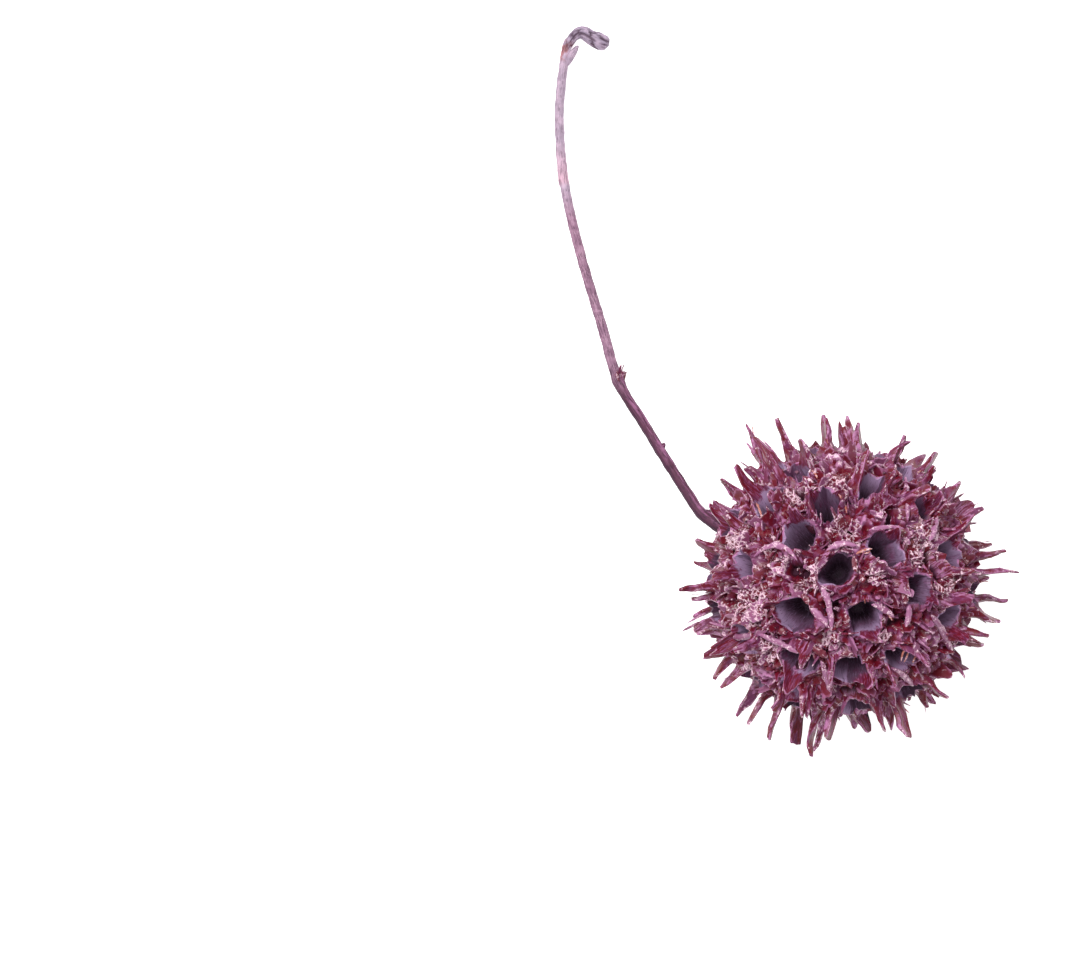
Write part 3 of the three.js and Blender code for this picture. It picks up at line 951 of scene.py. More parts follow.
def crumb_form(number, point, sizes):
    """Moves a small ball's vertices into one angular, longish crumb."""
    turn = random_turn(number, 41)
    half = between(sizes.crumb_least, sizes.crumb_most, draw(number, 44) ** 1.8)
    wide = (half, half * between(0.35, 0.8, draw(number, 45)), half * between(0.3, 0.6, draw(number, 46)))
    seed = Vector((3.1 * number, 0.0, 0.0))

    def form(corner):
        lump = corner * (1.0 + 0.6 * noise.noise(1.9 * corner + seed))
        return point + turn @ Vector((lump.x * wide[0], lump.y * wide[1], lump.z * wide[2]))

    return form


def standing_frame(number, way, edge, loose):
    """A frame that stands along one way and runs along another, tilted and turned at random."""
    across = way.cross(edge).normalized()
    tilt = (1.3 * (draw(number, 51) - 0.5), 1.3 * (draw(number, 52) - 0.5), loose * (draw(number, 53) - 0.5))
    return Matrix((across.cross(way), across, way)).transposed() @ Euler(tilt).to_matrix()


def flake_form(number, point, way, edge, gap, sizes):
    """Moves a small plate's vertices into one torn, bowed flake that stands on the tissue."""
    near = gap < 0.8 * MM
    stand = standing_frame(number, way, edge, 1.2 if near else FULL_TURN)
    tall = between(sizes.flake_least, sizes.flake_most, draw(number, 54) ** 1.5)
    wide = tall * between(0.6, 1.25, draw(number, 55))
    if draw(number, 58) < sizes.shred_share:
        tall = between(sizes.flake_most, sizes.shred_most, draw(number, 59) ** 1.5)
        wide = tall * (between(0.25, 0.5, draw(number, 55)) if near else between(0.45, 0.8, draw(number, 55)))
    bow = between(-0.4, 0.4, draw(number, 56))
    narrow = between(0.1, 0.75, draw(number, 57))
    seed = Vector((2.3 * number, 5.0, 0.0))

    def form(corner):
        up = corner.y + 0.5
        torn = noise.noise(Vector((3.0 * corner.x, 3.0 * up, 0.0)) + seed)
        x = corner.x * wide * (1.0 - narrow * up) * (1.0 + 0.35 * torn)
        z = tall * (up * (1.0 + 0.3 * torn) - 0.35)
        y = corner.z * sizes.flake_wall * (1.0 - 0.72 * up) + bow * x * x / wide + 0.25 * bow * up * up * tall
        return point + stand @ Vector((x, y + 0.05 * torn * tall, z))

    return form


def flake_template():
    """A thin plate one unit wide, tall and thick."""
    bm = bmesh.new()
    bmesh.ops.create_grid(bm, x_segments=3, y_segments=4, size=0.5)
    bmesh.ops.solidify(bm, geom=bm.faces[:], thickness=1.0)
    bmesh.ops.recalc_face_normals(bm, faces=bm.faces)
    return mesh_of(bm, "flake")


def ball_template(sides, rings):
    bm = bmesh.new()
    bmesh.ops.create_uvsphere(bm, u_segments=sides, v_segments=rings, radius=1.0)
    return mesh_of(bm, "ball")


def crumb_template():
    bm = bmesh.new()
    bmesh.ops.create_icosphere(bm, subdivisions=1, radius=1.0)
    return mesh_of(bm, "crumb")


def sliver_form(point, along, bend, radius):
    """Moves a small ball's vertices into a bent sliver with pointed ends, from a point along a way."""
    side = along.orthogonal().normalized()
    other = along.cross(side).normalized()

    def form(corner):
        up = (1.0 + corner.z) / 2.0
        return point + along * up + bend * up * up + (side * corner.x + other * corner.y) * radius

    return form


def shred_form(number, row, surface):
    """Moves a small ball's vertices into a lumpy ridge or fibre that lies along the head's upper side."""
    *ends, bow, half, tone = row
    surface += (0.25 + 1.2 * half * tone) * MM
    start = BALL_MIDDLE + seen_direction(*ends[:2], surface / MM) * surface
    end = BALL_MIDDLE + seen_direction(*ends[2:], surface / MM) * surface
    up = ((start + end) / 2.0 - BALL_MIDDLE).normalized()
    side = up.cross(end - start).normalized()
    seed = Vector((4.1 * number, 0.0, 2.0))

    def form(corner):
        along = (1.0 + corner.z) / 2.0
        lump = half * MM * (1.0 + 0.5 * noise.noise(Vector((corner.x, corner.y, 4.0 * corner.z)) + seed))
        aside = bow * MM * 4.0 * along * (1.0 - along)
        return start.lerp(end, along) + side * (aside + corner.x * lump) + up * (0.7 * corner.y * lump)

    return form


class SWEETGUM_OT_tissue(bpy.types.Operator):
    """Model the crumbs and torn flakes between the capsules"""

    bl_idname = "sweetgum.tissue"
    bl_label = "Broken tissue"

    def execute(self, context):
        sizes = context.scene.sweetgum_tissue
        head = context.scene.sweetgum_head
        capsules = Capsules(head)
        material = tissue_material(context)
        places = tissue_places(capsules, head, sizes.crumbs, 31)
        places = [place for i, place in enumerate(places) if draw(i, 47) < 0.12 + dusting(place[0])]
        forms = [crumb_form(i, place[0], sizes) for i, place in enumerate(places)]
        crumbs = scatter("crumbs", crumb_template(), forms, self.tones(places))
        add_piece(crumbs, material, sharp=16.0)
        places = tissue_places(capsules, head, sizes.flakes, 34)
        places = [place for i, place in enumerate(places) if draw(i, 48) < self.cover(place[1])]
        forms = [flake_form(i, *place, sizes) for i, place in enumerate(places)]
        flakes = scatter("flakes", flake_template(), forms, self.tones(places))
        add_piece(flakes, material, sharp=16.0)
        return {"FINISHED"}

    def cover(self, way):
        """The share of flakes kept in a direction: most where the head faces up, fewer round its outline."""
        return between(0.2, 1.0, smoothstep(way.z, 0.15, 0.65))

    def tones(self, places):
        """How pale each crumb or flake is: partly its own, partly that of the patch it lies in."""
        return [min(1.0, 0.78 * draw(i, 40) + 0.2 * dusting(place[0])) for i, place in enumerate(places)]


class SWEETGUM_OT_fibres(bpy.types.Operator):
    """Model the loose fibres and splinters on the beaks and rims"""

    bl_idname = "sweetgum.fibres"
    bl_label = "Loose fibres"

    def execute(self, context):
        sizes = context.scene.sweetgum_tissue
        forms = []
        for capsule in Capsules(context.scene.sweetgum_head).all:
            for number in range(capsule.index * sizes.fibres, (capsule.index + 1) * sizes.fibres):
                forms.append(self.fibre(capsule, number, sizes))
        tones = [draw(i, 60) * (0.8 if self.stiff(i, sizes) else 1.0) for i in range(len(forms))]
        fibres = scatter("fibres", ball_template(5, 7), forms, tones)
        add_piece(fibres, fibre_material(context), sharp=60.0)
        surface = context.scene.sweetgum_head.rim_radius + 0.4 * MM
        forms = [shred_form(number, row, surface) for number, row in enumerate(SEEN_SHREDS)]
        shreds = scatter("shreds", ball_template(8, 18), forms, [row[6] for row in SEEN_SHREDS])
        add_piece(shreds, fibre_material(context), sharp=60.0)
        return {"FINISHED"}

    def stiff(self, number, sizes):
        """Whether a fibre is a stiff splinter."""
        return draw(number, 68) < sizes.splinter_share

    def fibre(self, capsule, number, sizes):
        """One fibre or stiffer splinter, rooted in a wall and peeling away from it."""
        angle = math.pi * round(draw(number, 61)) + between(-0.8, 0.8, draw(number, 62))
        reach = between(sizes.fibre_least, sizes.fibre_most, draw(number, 64) ** 2)
        radius = sizes.fibre_radius * between(0.6, 1.2, draw(number, 67))
        loose = 1.0
        if self.stiff(number, sizes):
            reach = between(sizes.fibre_most, sizes.splinter_most, draw(number, 64))
            radius *= 2.0
            loose = 0.35
        top, spike = capsule.rim(angle)
        z = between(capsule.sizes.valley_radius, top, draw(number, 63) ** 0.7)
        root = capsule.outer(angle, z - 0.2 * MM, spike, top)
        above = capsule.outer(angle, z + 0.2 * MM, spike, top)
        along = (above - root).normalized() * reach
        away = Vector((math.cos(angle), math.sin(angle), 0.0)) * (0.45 * (draw(number, 65) - 0.15))
        aside = Vector((-math.sin(angle), math.cos(angle), 0.0)) * (0.8 * (draw(number, 66) - 0.5))
        bend = capsule.turned(away + aside) * (reach * loose)
        return sliver_form(capsule.place(root), capsule.turned(along), bend, radius)


# Stem

STEM_SIDES = 30
STEM_RINGS = 300
STRETCH_POINTS = 40
SCAR_SCALES = 16


def stem_line(steps):
    """Points at even steps along the stem's smooth route, in the part's frame."""
    route = [BALL_MIDDLE + Vector(point) * MM for point in STEM_ROUTE]
    route = [2.0 * route[0] - route[1], *route, 2.0 * route[-1] - route[-2]]
    line = []
    for before, start, end, after in zip(route, route[1:], route[2:], route[3:]):
        gap_before = (start - before).length**0.5
        gap = (end - start).length**0.5
        gap_after = (after - end).length**0.5
        leave = (start - before) / gap_before - (end - before) / (gap_before + gap) + (end - start) / gap
        enter = (end - start) / gap - (after - start) / (gap + gap_after) + (after - end) / gap_after
        handles = (start + leave * gap / 3.0, end - enter * gap / 3.0)
        line += geometry.interpolate_bezier(start, *handles, end, STRETCH_POINTS)[:-1]
    line.append(route[-2])
    return even_points(line, steps)


def even_points(line, steps):
    """A line's points set out again at even steps along it."""
    travelled = [0.0]
    for start, end in zip(line, line[1:]):
        travelled.append(travelled[-1] + (end - start).length)
    points = []
    nearest = 0
    for step in range(steps + 1):
        target = travelled[-1] * step / steps
        while nearest < len(line) - 2 and travelled[nearest + 1] < target:
            nearest += 1
        part = (target - travelled[nearest]) / (travelled[nearest + 1] - travelled[nearest])
        points.append(line[nearest].lerp(line[nearest + 1], part))
    return points


class StemCourse:
    """The stem's line with a frame across it at every step."""

    def __init__(self, steps):
        self.points = stem_line(steps)
        ways = [(end - start).normalized() for start, end in zip(self.points, self.points[1:])]
        self.ways = [*ways, ways[-1]]
        side = self.ways[0].cross(Vector((0.0, 0.0, 1.0))).normalized()
        self.sides = []
        for before, way in zip([self.ways[0], *self.ways], self.ways):
            side = before.rotation_difference(way) @ side
            self.sides.append(side)

    def at(self, fraction):
        return round(fraction * (len(self.points) - 1))

    def across(self, step, angle):
        """The way out of the stem at a step and an angle round it."""
        return self.sides[step] * math.cos(angle) + self.sides[step].cross(self.ways[step]) * math.sin(angle)


def stem_radius(fraction, sizes):
    taper = between(sizes.root_radius, sizes.foot_radius, fraction)
    root = sizes.root_swell * math.exp(-fraction / sizes.root_reach)
    foot = sizes.foot_swell * smoothstep(fraction, sizes.foot_start, 1.0)
    scar = sizes.scar_swell * math.exp(-(((fraction - sizes.scar_at) / sizes.scar_reach) ** 2))
    return taper + root + foot + scar


def foot_cracks(fraction, angle):
    """How far the bark is cracked open, from 0 to 1 in the cracks of the bent foot."""
    line = crest(Vector((1.7 * math.cos(angle), 1.7 * math.sin(angle), 45.0 * fraction)))
    return smoothstep(fraction, 0.89, 0.93) * smoothstep(line, 0.55, 0.95)


def bark_relief(fraction, angle, sizes):
    """What the bark's ridges, lumps, ledge at the joint and cracks add to the stem's radius."""
    c, s = math.cos(angle), math.sin(angle)
    ridges = sizes.ridge * (crest(Vector((3.2 * c, 3.2 * s, 26.0 * fraction))) - 0.4)
    lumps = 1.2 * sizes.ridge * noise.noise(Vector((0.9 * c, 0.9 * s, 70.0 * fraction)))
    past = fraction - sizes.joint_at
    ledge = 0.14 * MM * smoothstep(past, -0.001, 0.002) * math.exp(-max(0.0, past) / 0.025)
    ledge *= 0.55 - 0.45 * c
    knots = smoothstep(fraction, 0.88, 0.93) * noise.noise(Vector((0.8 * c, 0.8 * s, 60.0 * fraction)))
    return ridges + lumps + ledge + 0.16 * MM * knots - 0.2 * MM * foot_cracks(fraction, angle)


def end_round(fraction):
    """How the stem's blunt end closes, from 1 along the stem to 0 at its very end."""
    left = min(1.0, (1.0 - fraction) / 0.012)
    return math.sqrt(left * (2.0 - left))


class SWEETGUM_OT_stem(bpy.types.Operator):
    """Model the ridged stem with its scar, joint and cracked foot"""

    bl_idname = "sweetgum.stem"
    bl_label = "Stem"

    def execute(self, context):
        sizes = context.scene.sweetgum_stem
        course = StemCourse(STEM_RINGS - 2)
        bm = bmesh.new()
        along_layer = bm.verts.layers.float.new("along")
        crack_layer = bm.verts.layers.float.new("crack")
        grain_layer = bm.verts.layers.float_vector.new("grain")
        for vert, angle, ring in sphere_rings(bm, STEM_SIDES, STEM_RINGS):
            step = min(max(ring - 1, 0), STEM_RINGS - 2)
            fraction = step / (STEM_RINGS - 2)
            radius = stem_radius(fraction, sizes) + bark_relief(fraction, angle, sizes)
            radius *= end_round(fraction)
            if ring in (0, STEM_RINGS):
                radius = 0.0
            vert.co = above_ground(course.points[step] + course.across(step, angle) * radius)
            vert[along_layer] = fraction
            vert[crack_layer] = foot_cracks(fraction, angle)
            vert[grain_layer] = (math.cos(angle), math.sin(angle), 12.0 * fraction)
        bmesh.ops.recalc_face_normals(bm, faces=bm.faces)
        add_piece(mesh_of(bm, "bark"), bark_material(context), "stem")
        return {"FINISHED"}


class SWEETGUM_OT_stem_scales(bpy.types.Operator):
    """Model the tuft of torn scales at the scar and the small buds along the stem"""

    bl_idname = "sweetgum.stem_scales"
    bl_label = "Stem scales"

    def execute(self, context):
        sizes = context.scene.sweetgum_stem
        course = StemCourse(STEM_RINGS)
        forms = [self.scale(course, sizes, number) for number in range(SCAR_SCALES)]
        tones = [0.6 * draw(number, 70) for number in range(SCAR_SCALES)]
        scales = scatter("stem_scales", ball_template(6, 7), forms, tones)
        add_piece(scales, fibre_material(context), sharp=60.0)
        places, forms = zip(*self.buds(course))
        template = ball_template(12, 12)
        buds = scatter("stem_buds", template, forms, places, "along")
        grain = [value for vert in template.vertices for value in (*vert.co.xy, 0.2 * vert.co.z)] * len(forms)
        buds.attributes.new("grain", "FLOAT_VECTOR", "POINT").data.foreach_set("vector", grain)
        add_piece(buds, bark_material(context), sharp=60.0)
        return {"FINISHED"}

    def scale(self, course, sizes, number):
        """One pointed scale of the tuft on the stem's upper right side at the scar."""
        fraction = sizes.scar_at + 0.012 * (draw(number, 71) - 0.4)
        step = course.at(fraction)
        angle = between(-0.7, 1.5, draw(number, 72))
        out = course.across(step, angle)
        root = course.points[step] + out * (stem_radius(fraction, sizes) - 0.1 * MM)
        reach = between(0.5, 1.3, draw(number, 73)) * MM
        along = (course.ways[step] + out * between(0.1, 0.9, draw(number, 74))).normalized() * reach
        bend = (out * between(0.0, 0.5, draw(number, 75)) - course.ways[step] * 0.1) * reach
        return sliver_form(root, along, bend, between(0.09, 0.17, draw(number, 76)) * MM)

    def buds(self, course):
        """Place along the stem and form of the spur in the hook, the bud, the stub and the root's flare."""
        right = Vector((1.0, 0.0, 0.0))
        lean = Vector((0.33, 0.94, 0.0))
        shapes = (
            (0.884, right * 0.3, lean * 2.5, right * 0.5, 0.42),
            (0.215, right * 0.3, right * 0.5, lean * 0.2, 0.4),
            (0.03, right * -0.5, lean * -1.3, right * -0.4, 0.5),
            (0.088, right * 0.1, right * 2.5 - lean * 0.8, lean * 0.3, 0.5),
        )
        for place, offset, along, bend, radius in shapes:
            root = course.points[course.at(place)] + offset * MM
            yield place, sliver_form(root, along * MM, bend * MM, radius * MM)


# Materials

def new_material(name):
    """A material with its node tree, its shader and the object's own coordinates."""
    material = bpy.data.materials.new(name)
    material.use_nodes = True
    tree = material.node_tree
    shader = tree.nodes["Principled BSDF"]
    coordinates = tree.nodes.new("ShaderNodeTexCoord").outputs["Object"]
    return material, tree, shader, coordinates


def set_inputs(tree, node, inputs):
    """Sets each input of a node to a value, or links it from a socket."""
    for key, value in inputs.items():
        if isinstance(value, bpy.types.NodeSocket):
            tree.links.new(value, node.inputs[key])
        else:
            node.inputs[key].default_value = value


def add_node(tree, kind, inputs, **settings):
    """A node with its settings and its inputs."""
    node = tree.nodes.new(kind)
    for name, value in settings.items():
        setattr(node, name, value)
    set_inputs(tree, node, inputs)
    return node


def noise_at(tree, vector, scale, detail=4.0, roughness=0.6, distortion=0.0):
    """The outputs of a noise of a scale along a vector."""
    inputs = {
        "Vector": vector,
        "Scale": scale,
        "Detail": detail,
        "Roughness": roughness,
        "Distortion": distortion,
    }
    return add_node(tree, "ShaderNodeTexNoise", inputs).outputs


def noise_of(tree, vector, size, detail=4.0, distortion=0.0):
    """A noise whose lumps are about the given size in the vector's own units."""
    return noise_at(tree, vector, 1.0 / size, detail, distortion=distortion)["Fac"]


def streak_of(tree, grain, scale):
    """Streaks that run along the grain."""
    return noise_at(tree, grain, scale, detail=3.0)["Fac"]


def ramp(tree, value, start, full, most=1.0):
    """A value spread smoothly from 0 at start to its most at full."""
    inputs = {"Value": value, "From Min": start, "From Max": full, "To Max": most}
    return add_node(tree, "ShaderNodeMapRange", inputs, interpolation_type="SMOOTHSTEP").outputs["Result"]


def mixed(tree, factor, first, second):
    """Two colours or colour sockets mixed by a factor."""
    inputs = {0: factor, 6: first, 7: second}
    return add_node(tree, "ShaderNodeMix", inputs, data_type="RGBA").outputs[2]


def maths(tree, operation, first, second, clamp=True):
    inputs = {0: first, 1: second}
    return add_node(tree, "ShaderNodeMath", inputs, operation=operation, use_clamp=clamp).outputs[0]


def times(tree, first, second, clamp=True):
    return maths(tree, "MULTIPLY", first, second, clamp)


def plus(tree, first, second, clamp=True):
    return maths(tree, "ADD", first, second, clamp)


def vector_maths(tree, operation, inputs, output="Vector"):
    return add_node(tree, "ShaderNodeVectorMath", inputs, operation=operation).outputs[output]


def from_middle(tree, coordinates):
    """The distance of a point from the ball's middle."""
    return vector_maths(tree, "DISTANCE", {0: coordinates, 1: BALL_MIDDLE}, "Value")


def attribute(tree, name, output="Fac"):
    return add_node(tree, "ShaderNodeAttribute", {}, attribute_name=name).outputs[output]


def first_part(tree, vector):
    """The first of a vector's three parts."""
    return add_node(tree, "ShaderNodeSeparateXYZ", {"Vector": vector}).outputs["X"]


def bump(tree, shader, height, distance, strength):
    inputs = {"Height": height, "Distance": distance, "Strength": strength}
    node = add_node(tree, "ShaderNodeBump", inputs)
    set_inputs(tree, shader, {"Normal": node.outputs["Normal"]})


def colour_ramp(tree, value, stops):
    """Colours along a value, from pairs of place and colour."""
    node = add_node(tree, "ShaderNodeValToRGB", {"Fac": value})
    elements = node.color_ramp.elements
    while len(elements) < len(stops):
        elements.new(1.0)
    for element, (place, colour) in zip(elements, stops):
        element.position = place
        element.color = colour
    return node.outputs["Color"]


def node_group(name, inputs, outputs):
    """An empty shader node group with its named sockets, and its two ends."""
    tree = bpy.data.node_groups.new(name, "ShaderNodeTree")
    for way, sockets in (("INPUT", inputs), ("OUTPUT", outputs)):
        for socket, kind in sockets.items():
            tree.interface.new_socket(socket, in_out=way, socket_type="NodeSocket" + kind)
    entry = tree.nodes.new("NodeGroupInput").outputs
    leave = tree.nodes.new("NodeGroupOutput").inputs
    return tree, entry, leave


def frost_group():
    """Pale dust caught on a net of crests in crumbly patches: gives the dusted colour and the dust's mask."""
    made = bpy.data.node_groups.get("frost_dust")
    if made:
        return made
    inputs = {"Vector": "Vector", "Size": "Float", "Cover": "Float", "Colour": "Color", "Frost": "Color"}
    tree, entry, leave = node_group("frost_dust", inputs, {"Colour": "Color", "Mask": "Float"})
    scale = maths(tree, "DIVIDE", 1.0, entry["Size"], clamp=False)
    patch = noise_at(tree, entry["Vector"], scale, distortion=0.5)
    waver = vector_maths(tree, "SUBTRACT", {0: patch["Color"], 1: (0.5, 0.5, 0.5)})
    reach = times(tree, entry["Size"], 0.9, clamp=False)
    shift = vector_maths(tree, "SCALE", {0: waver, "Scale": reach})
    net_inputs = {
        "Vector": vector_maths(tree, "ADD", {0: entry["Vector"], 1: shift}),
        "Scale": times(tree, scale, 1.7, clamp=False),
        "Detail": 1.0,
        "Roughness": 0.6,
    }
    net = add_node(tree, "ShaderNodeTexVoronoi", net_inputs, feature="DISTANCE_TO_EDGE").outputs["Distance"]
    threshold = times(tree, entry["Cover"], -0.4, clamp=False)
    start = plus(tree, threshold, 0.6, clamp=False)
    full = plus(tree, threshold, 0.74, clamp=False)
    mask = times(tree, ramp(tree, patch["Fac"], start, full), ramp(tree, net, 0.12, 0.02))
    tree.links.new(mixed(tree, mask, entry["Colour"], entry["Frost"]), leave["Colour"])
    tree.links.new(mask, leave["Mask"])
    return tree


def frosted(tree, vector, size, cover, colour, frost):
    """A colour with frost on it, and the frost's mask."""
    inputs = {"Vector": vector, "Size": size, "Cover": cover, "Colour": colour, "Frost": frost}
    outputs = add_node(tree, "ShaderNodeGroup", inputs, node_tree=frost_group()).outputs
    return outputs["Colour"], outputs["Mask"]


def mottle_group():
    """Two dyes in soft patches, streaked along the grain: gives the colour and the grain's height."""
    made = bpy.data.node_groups.get("dye_mottle")
    if made:
        return made
    inputs = {
        "Vector": "Vector",
        "Grain": "Vector",
        "Size": "Float",
        "Streak": "Float",
        "First": "Color",
        "Second": "Color",
    }
    tree, entry, leave = node_group("dye_mottle", inputs, {"Colour": "Color", "Height": "Float"})
    scale = maths(tree, "DIVIDE", 1.0, entry["Size"], clamp=False)
    patch = noise_at(tree, entry["Vector"], scale, roughness=0.62, distortion=0.4)["Fac"]
    streak = streak_of(tree, entry["Grain"], entry["Streak"])
    both = plus(tree, times(tree, patch, 0.6), times(tree, streak, 0.4))
    colour = mixed(tree, ramp(tree, both, 0.44, 0.62), entry["First"], entry["Second"])
    tree.links.new(colour, leave["Colour"])
    tree.links.new(streak, leave["Height"])
    return tree


def mottled(tree, vector, grain, size, streak, first, second):
    """Two dyes mottled together, and the height of their grain."""
    inputs = {
        "Vector": vector,
        "Grain": grain,
        "Size": size,
        "Streak": streak,
        "First": first,
        "Second": second,
    }
    outputs = add_node(tree, "ShaderNodeGroup", inputs, node_tree=mottle_group()).outputs
    return outputs["Colour"], outputs["Height"]


def husk_material(context):
    """Dyed wood of the beaks and walls: maroon streaked with plum and lilac, dusted on some ribs, with
    painted shade low down between the capsules.
    """
    dyes = context.scene.sweetgum_dyes
    material, tree, shader, coordinates = new_material("dyed_husk")
    grain = attribute(tree, "grain", "Vector")
    colour, height = mottled(tree, coordinates, grain, 2.2 * MM, 1.6, dyes.maroon, dyes.plum)
    paint = noise_of(tree, coordinates, 1.5 * MM, detail=5.0, distortion=0.6)
    streak = streak_of(tree, grain, 3.4)
    painted = times(tree, ramp(tree, streak, 0.5, 0.6), ramp(tree, paint, 0.44, 0.6))
    colour = mixed(tree, painted, colour, dyes.lilac)
    high = ramp(tree, attribute(tree, "crest"), 0.6, 0.98)
    colour = mixed(tree, times(tree, high, ramp(tree, paint, 0.4, 0.6)), colour, dyes.lilac)
    lip = ramp(tree, attribute(tree, "inside"), 0.02, 0.3)
    worn = times(tree, plus(tree, high, lip), 0.25)
    cover = plus(tree, worn, times(tree, attribute(tree, "dust"), 0.5))
    colour, dust = frosted(tree, coordinates, 0.9 * MM, cover, colour, dyes.frost)
    distance = from_middle(tree, coordinates)
    # Painted shade: darker low down between the capsules, and darker still where walls lie deep inside a
    # cavity
    colour = mixed(tree, ramp(tree, distance, 14.5 * MM, 13.4 * MM), colour, dyes.shade)
    colour = mixed(tree, ramp(tree, distance, 13.2 * MM, 12.8 * MM), colour, dyes.lining_painted_shade)
    set_inputs(tree, shader, {
        "Base Color": colour,
        "Roughness": plus(tree, times(tree, paint, 0.7), 0.05),
        "Specular IOR Level": 0.35,
    })
    bump(tree, shader, plus(tree, height, dust), 0.12 * MM, 0.8)
    return material


def bed_material(context):
    """Dull wood deep between the capsules, dark with painted shade."""
    dyes = context.scene.sweetgum_dyes
    material, tree, shader, coordinates = new_material("deep_bed")
    patch = noise_of(tree, coordinates, 1.2 * MM)
    # Painted shade: the bed takes the colours of the shade deep between the capsules
    set_inputs(tree, shader, {
        "Base Color": mixed(tree, patch, dyes.shade, dyes.lining_painted_shade),
        "Roughness": 0.95,
        "Specular IOR Level": 0.0,
    })
    return material


def lining_material(context):
    """Smooth lining of a capsule: grey violet with painted light on some flat sides by the mouth, painted
    shade on others and towards the floor, dark red faces up the beaks.
    """
    dyes = context.scene.sweetgum_dyes
    material, tree, shader, coordinates = new_material("capsule_lining")
    grain = attribute(tree, "grain", "Vector")
    distance = from_middle(tree, coordinates)
    wander = noise_of(tree, coordinates, 1.3 * MM, detail=3.0)
    colour, height = mottled(tree, coordinates, grain, 2.6 * MM, 1.4, dyes.lining, dyes.plum)
    colour = mixed(tree, ramp(tree, wander, 0.35, 0.6), colour, dyes.lining)
    facet = attribute(tree, "facet")
    # Painted light: some flat sides are paler towards the mouth
    pale = times(tree, ramp(tree, distance, 11.8 * MM, 14.4 * MM), ramp(tree, facet, 0.5, 0.8))
    colour = mixed(tree, pale, colour, dyes.lining_painted_light_and_streak)
    # Painted shade: other flat sides are darker, and the whole lining darkens towards the floor
    colour = mixed(tree, ramp(tree, facet, 0.5, 0.2, 0.5), colour, dyes.lining_painted_shade)
    colour = mixed(tree, ramp(tree, distance, 12.6 * MM, 10.2 * MM), colour, dyes.lining_painted_shade)
    fine = streak_of(tree, grain, 5.0)
    colour = mixed(tree, ramp(tree, fine, 0.55, 0.68, 0.45), colour, dyes.lining_painted_light_and_streak)
    colour = mixed(tree, ramp(tree, fine, 0.45, 0.34, 0.55), colour, dyes.shade)
    streak = streak_of(tree, grain, 2.8)
    face = mixed(tree, ramp(tree, streak, 0.46, 0.6, 0.8), dyes.maroon, dyes.plum)
    face = mixed(tree, ramp(tree, fine, 0.54, 0.64, 0.5), face, dyes.lilac)
    face = mixed(tree, ramp(tree, fine, 0.46, 0.36, 0.6), face, dyes.shade)
    toward_beak = maths(tree, "ABSOLUTE", first_part(tree, grain), 0.0, clamp=False)
    shift = times(tree, toward_beak, 0.45 * MM, clamp=False)
    for pattern, reach in ((streak, 1.6 * MM), (wander, 3.0 * MM)):
        shift = plus(tree, shift, times(tree, pattern, reach, clamp=False), clamp=False)
    edge = ramp(tree, plus(tree, distance, shift, clamp=False), 18.0 * MM, 18.7 * MM)
    colour = mixed(tree, edge, colour, face)
    lip = times(tree, ramp(tree, attribute(tree, "inside"), 0.98, 0.7), ramp(tree, wander, 0.45, 0.6))
    set_inputs(tree, shader, {
        "Base Color": mixed(tree, lip, colour, dyes.lilac),
        "Roughness": plus(tree, times(tree, wander, 0.5), 0.15),
        "Coat Weight": times(tree, edge, 0.5),
        "Coat Roughness": 0.3,
        "Specular IOR Level": 0.12,
    })
    bump(tree, shader, height, 0.08 * MM, 0.4)
    return material


def crust_material(context):
    """Pitted crust: glossy maroon pits, plum and lilac ridges, pale lace on the crests in dusted places, and
    painted shade low down.
    """
    dyes = context.scene.sweetgum_dyes
    material, tree, shader, coordinates = new_material("pitted_crust")
    level = attribute(tree, "crest")
    colour, height = mottled(tree, coordinates, coordinates, 2.0 * MM, 900.0, dyes.maroon, dyes.plum)
    colour = mixed(tree, ramp(tree, level, 0.5, 0.15), colour, dyes.maroon)
    wander = noise_of(tree, coordinates, 2.2 * MM)
    high = ramp(tree, level, 0.4, 0.8)
    colour = mixed(tree, times(tree, high, ramp(tree, wander, 0.48, 0.62)), colour, dyes.lilac)
    dusted = plus(tree, attribute(tree, "dust"), 0.2)
    cover = times(tree, plus(tree, high, 0.2), dusted, clamp=False)
    colour, dust = frosted(tree, coordinates, 1.1 * MM, cover, colour, dyes.frost)
    # Painted shade: darker low down in the pits
    deep = ramp(tree, from_middle(tree, coordinates), 13.9 * MM, 13.1 * MM)
    set_inputs(tree, shader, {
        "Base Color": mixed(tree, deep, colour, dyes.shade),
        "Roughness": plus(tree, times(tree, high, 0.4), 0.25),
        "Specular IOR Level": 0.4,
    })
    bump(tree, shader, plus(tree, height, dust), 0.1 * MM, 0.8)
    return material


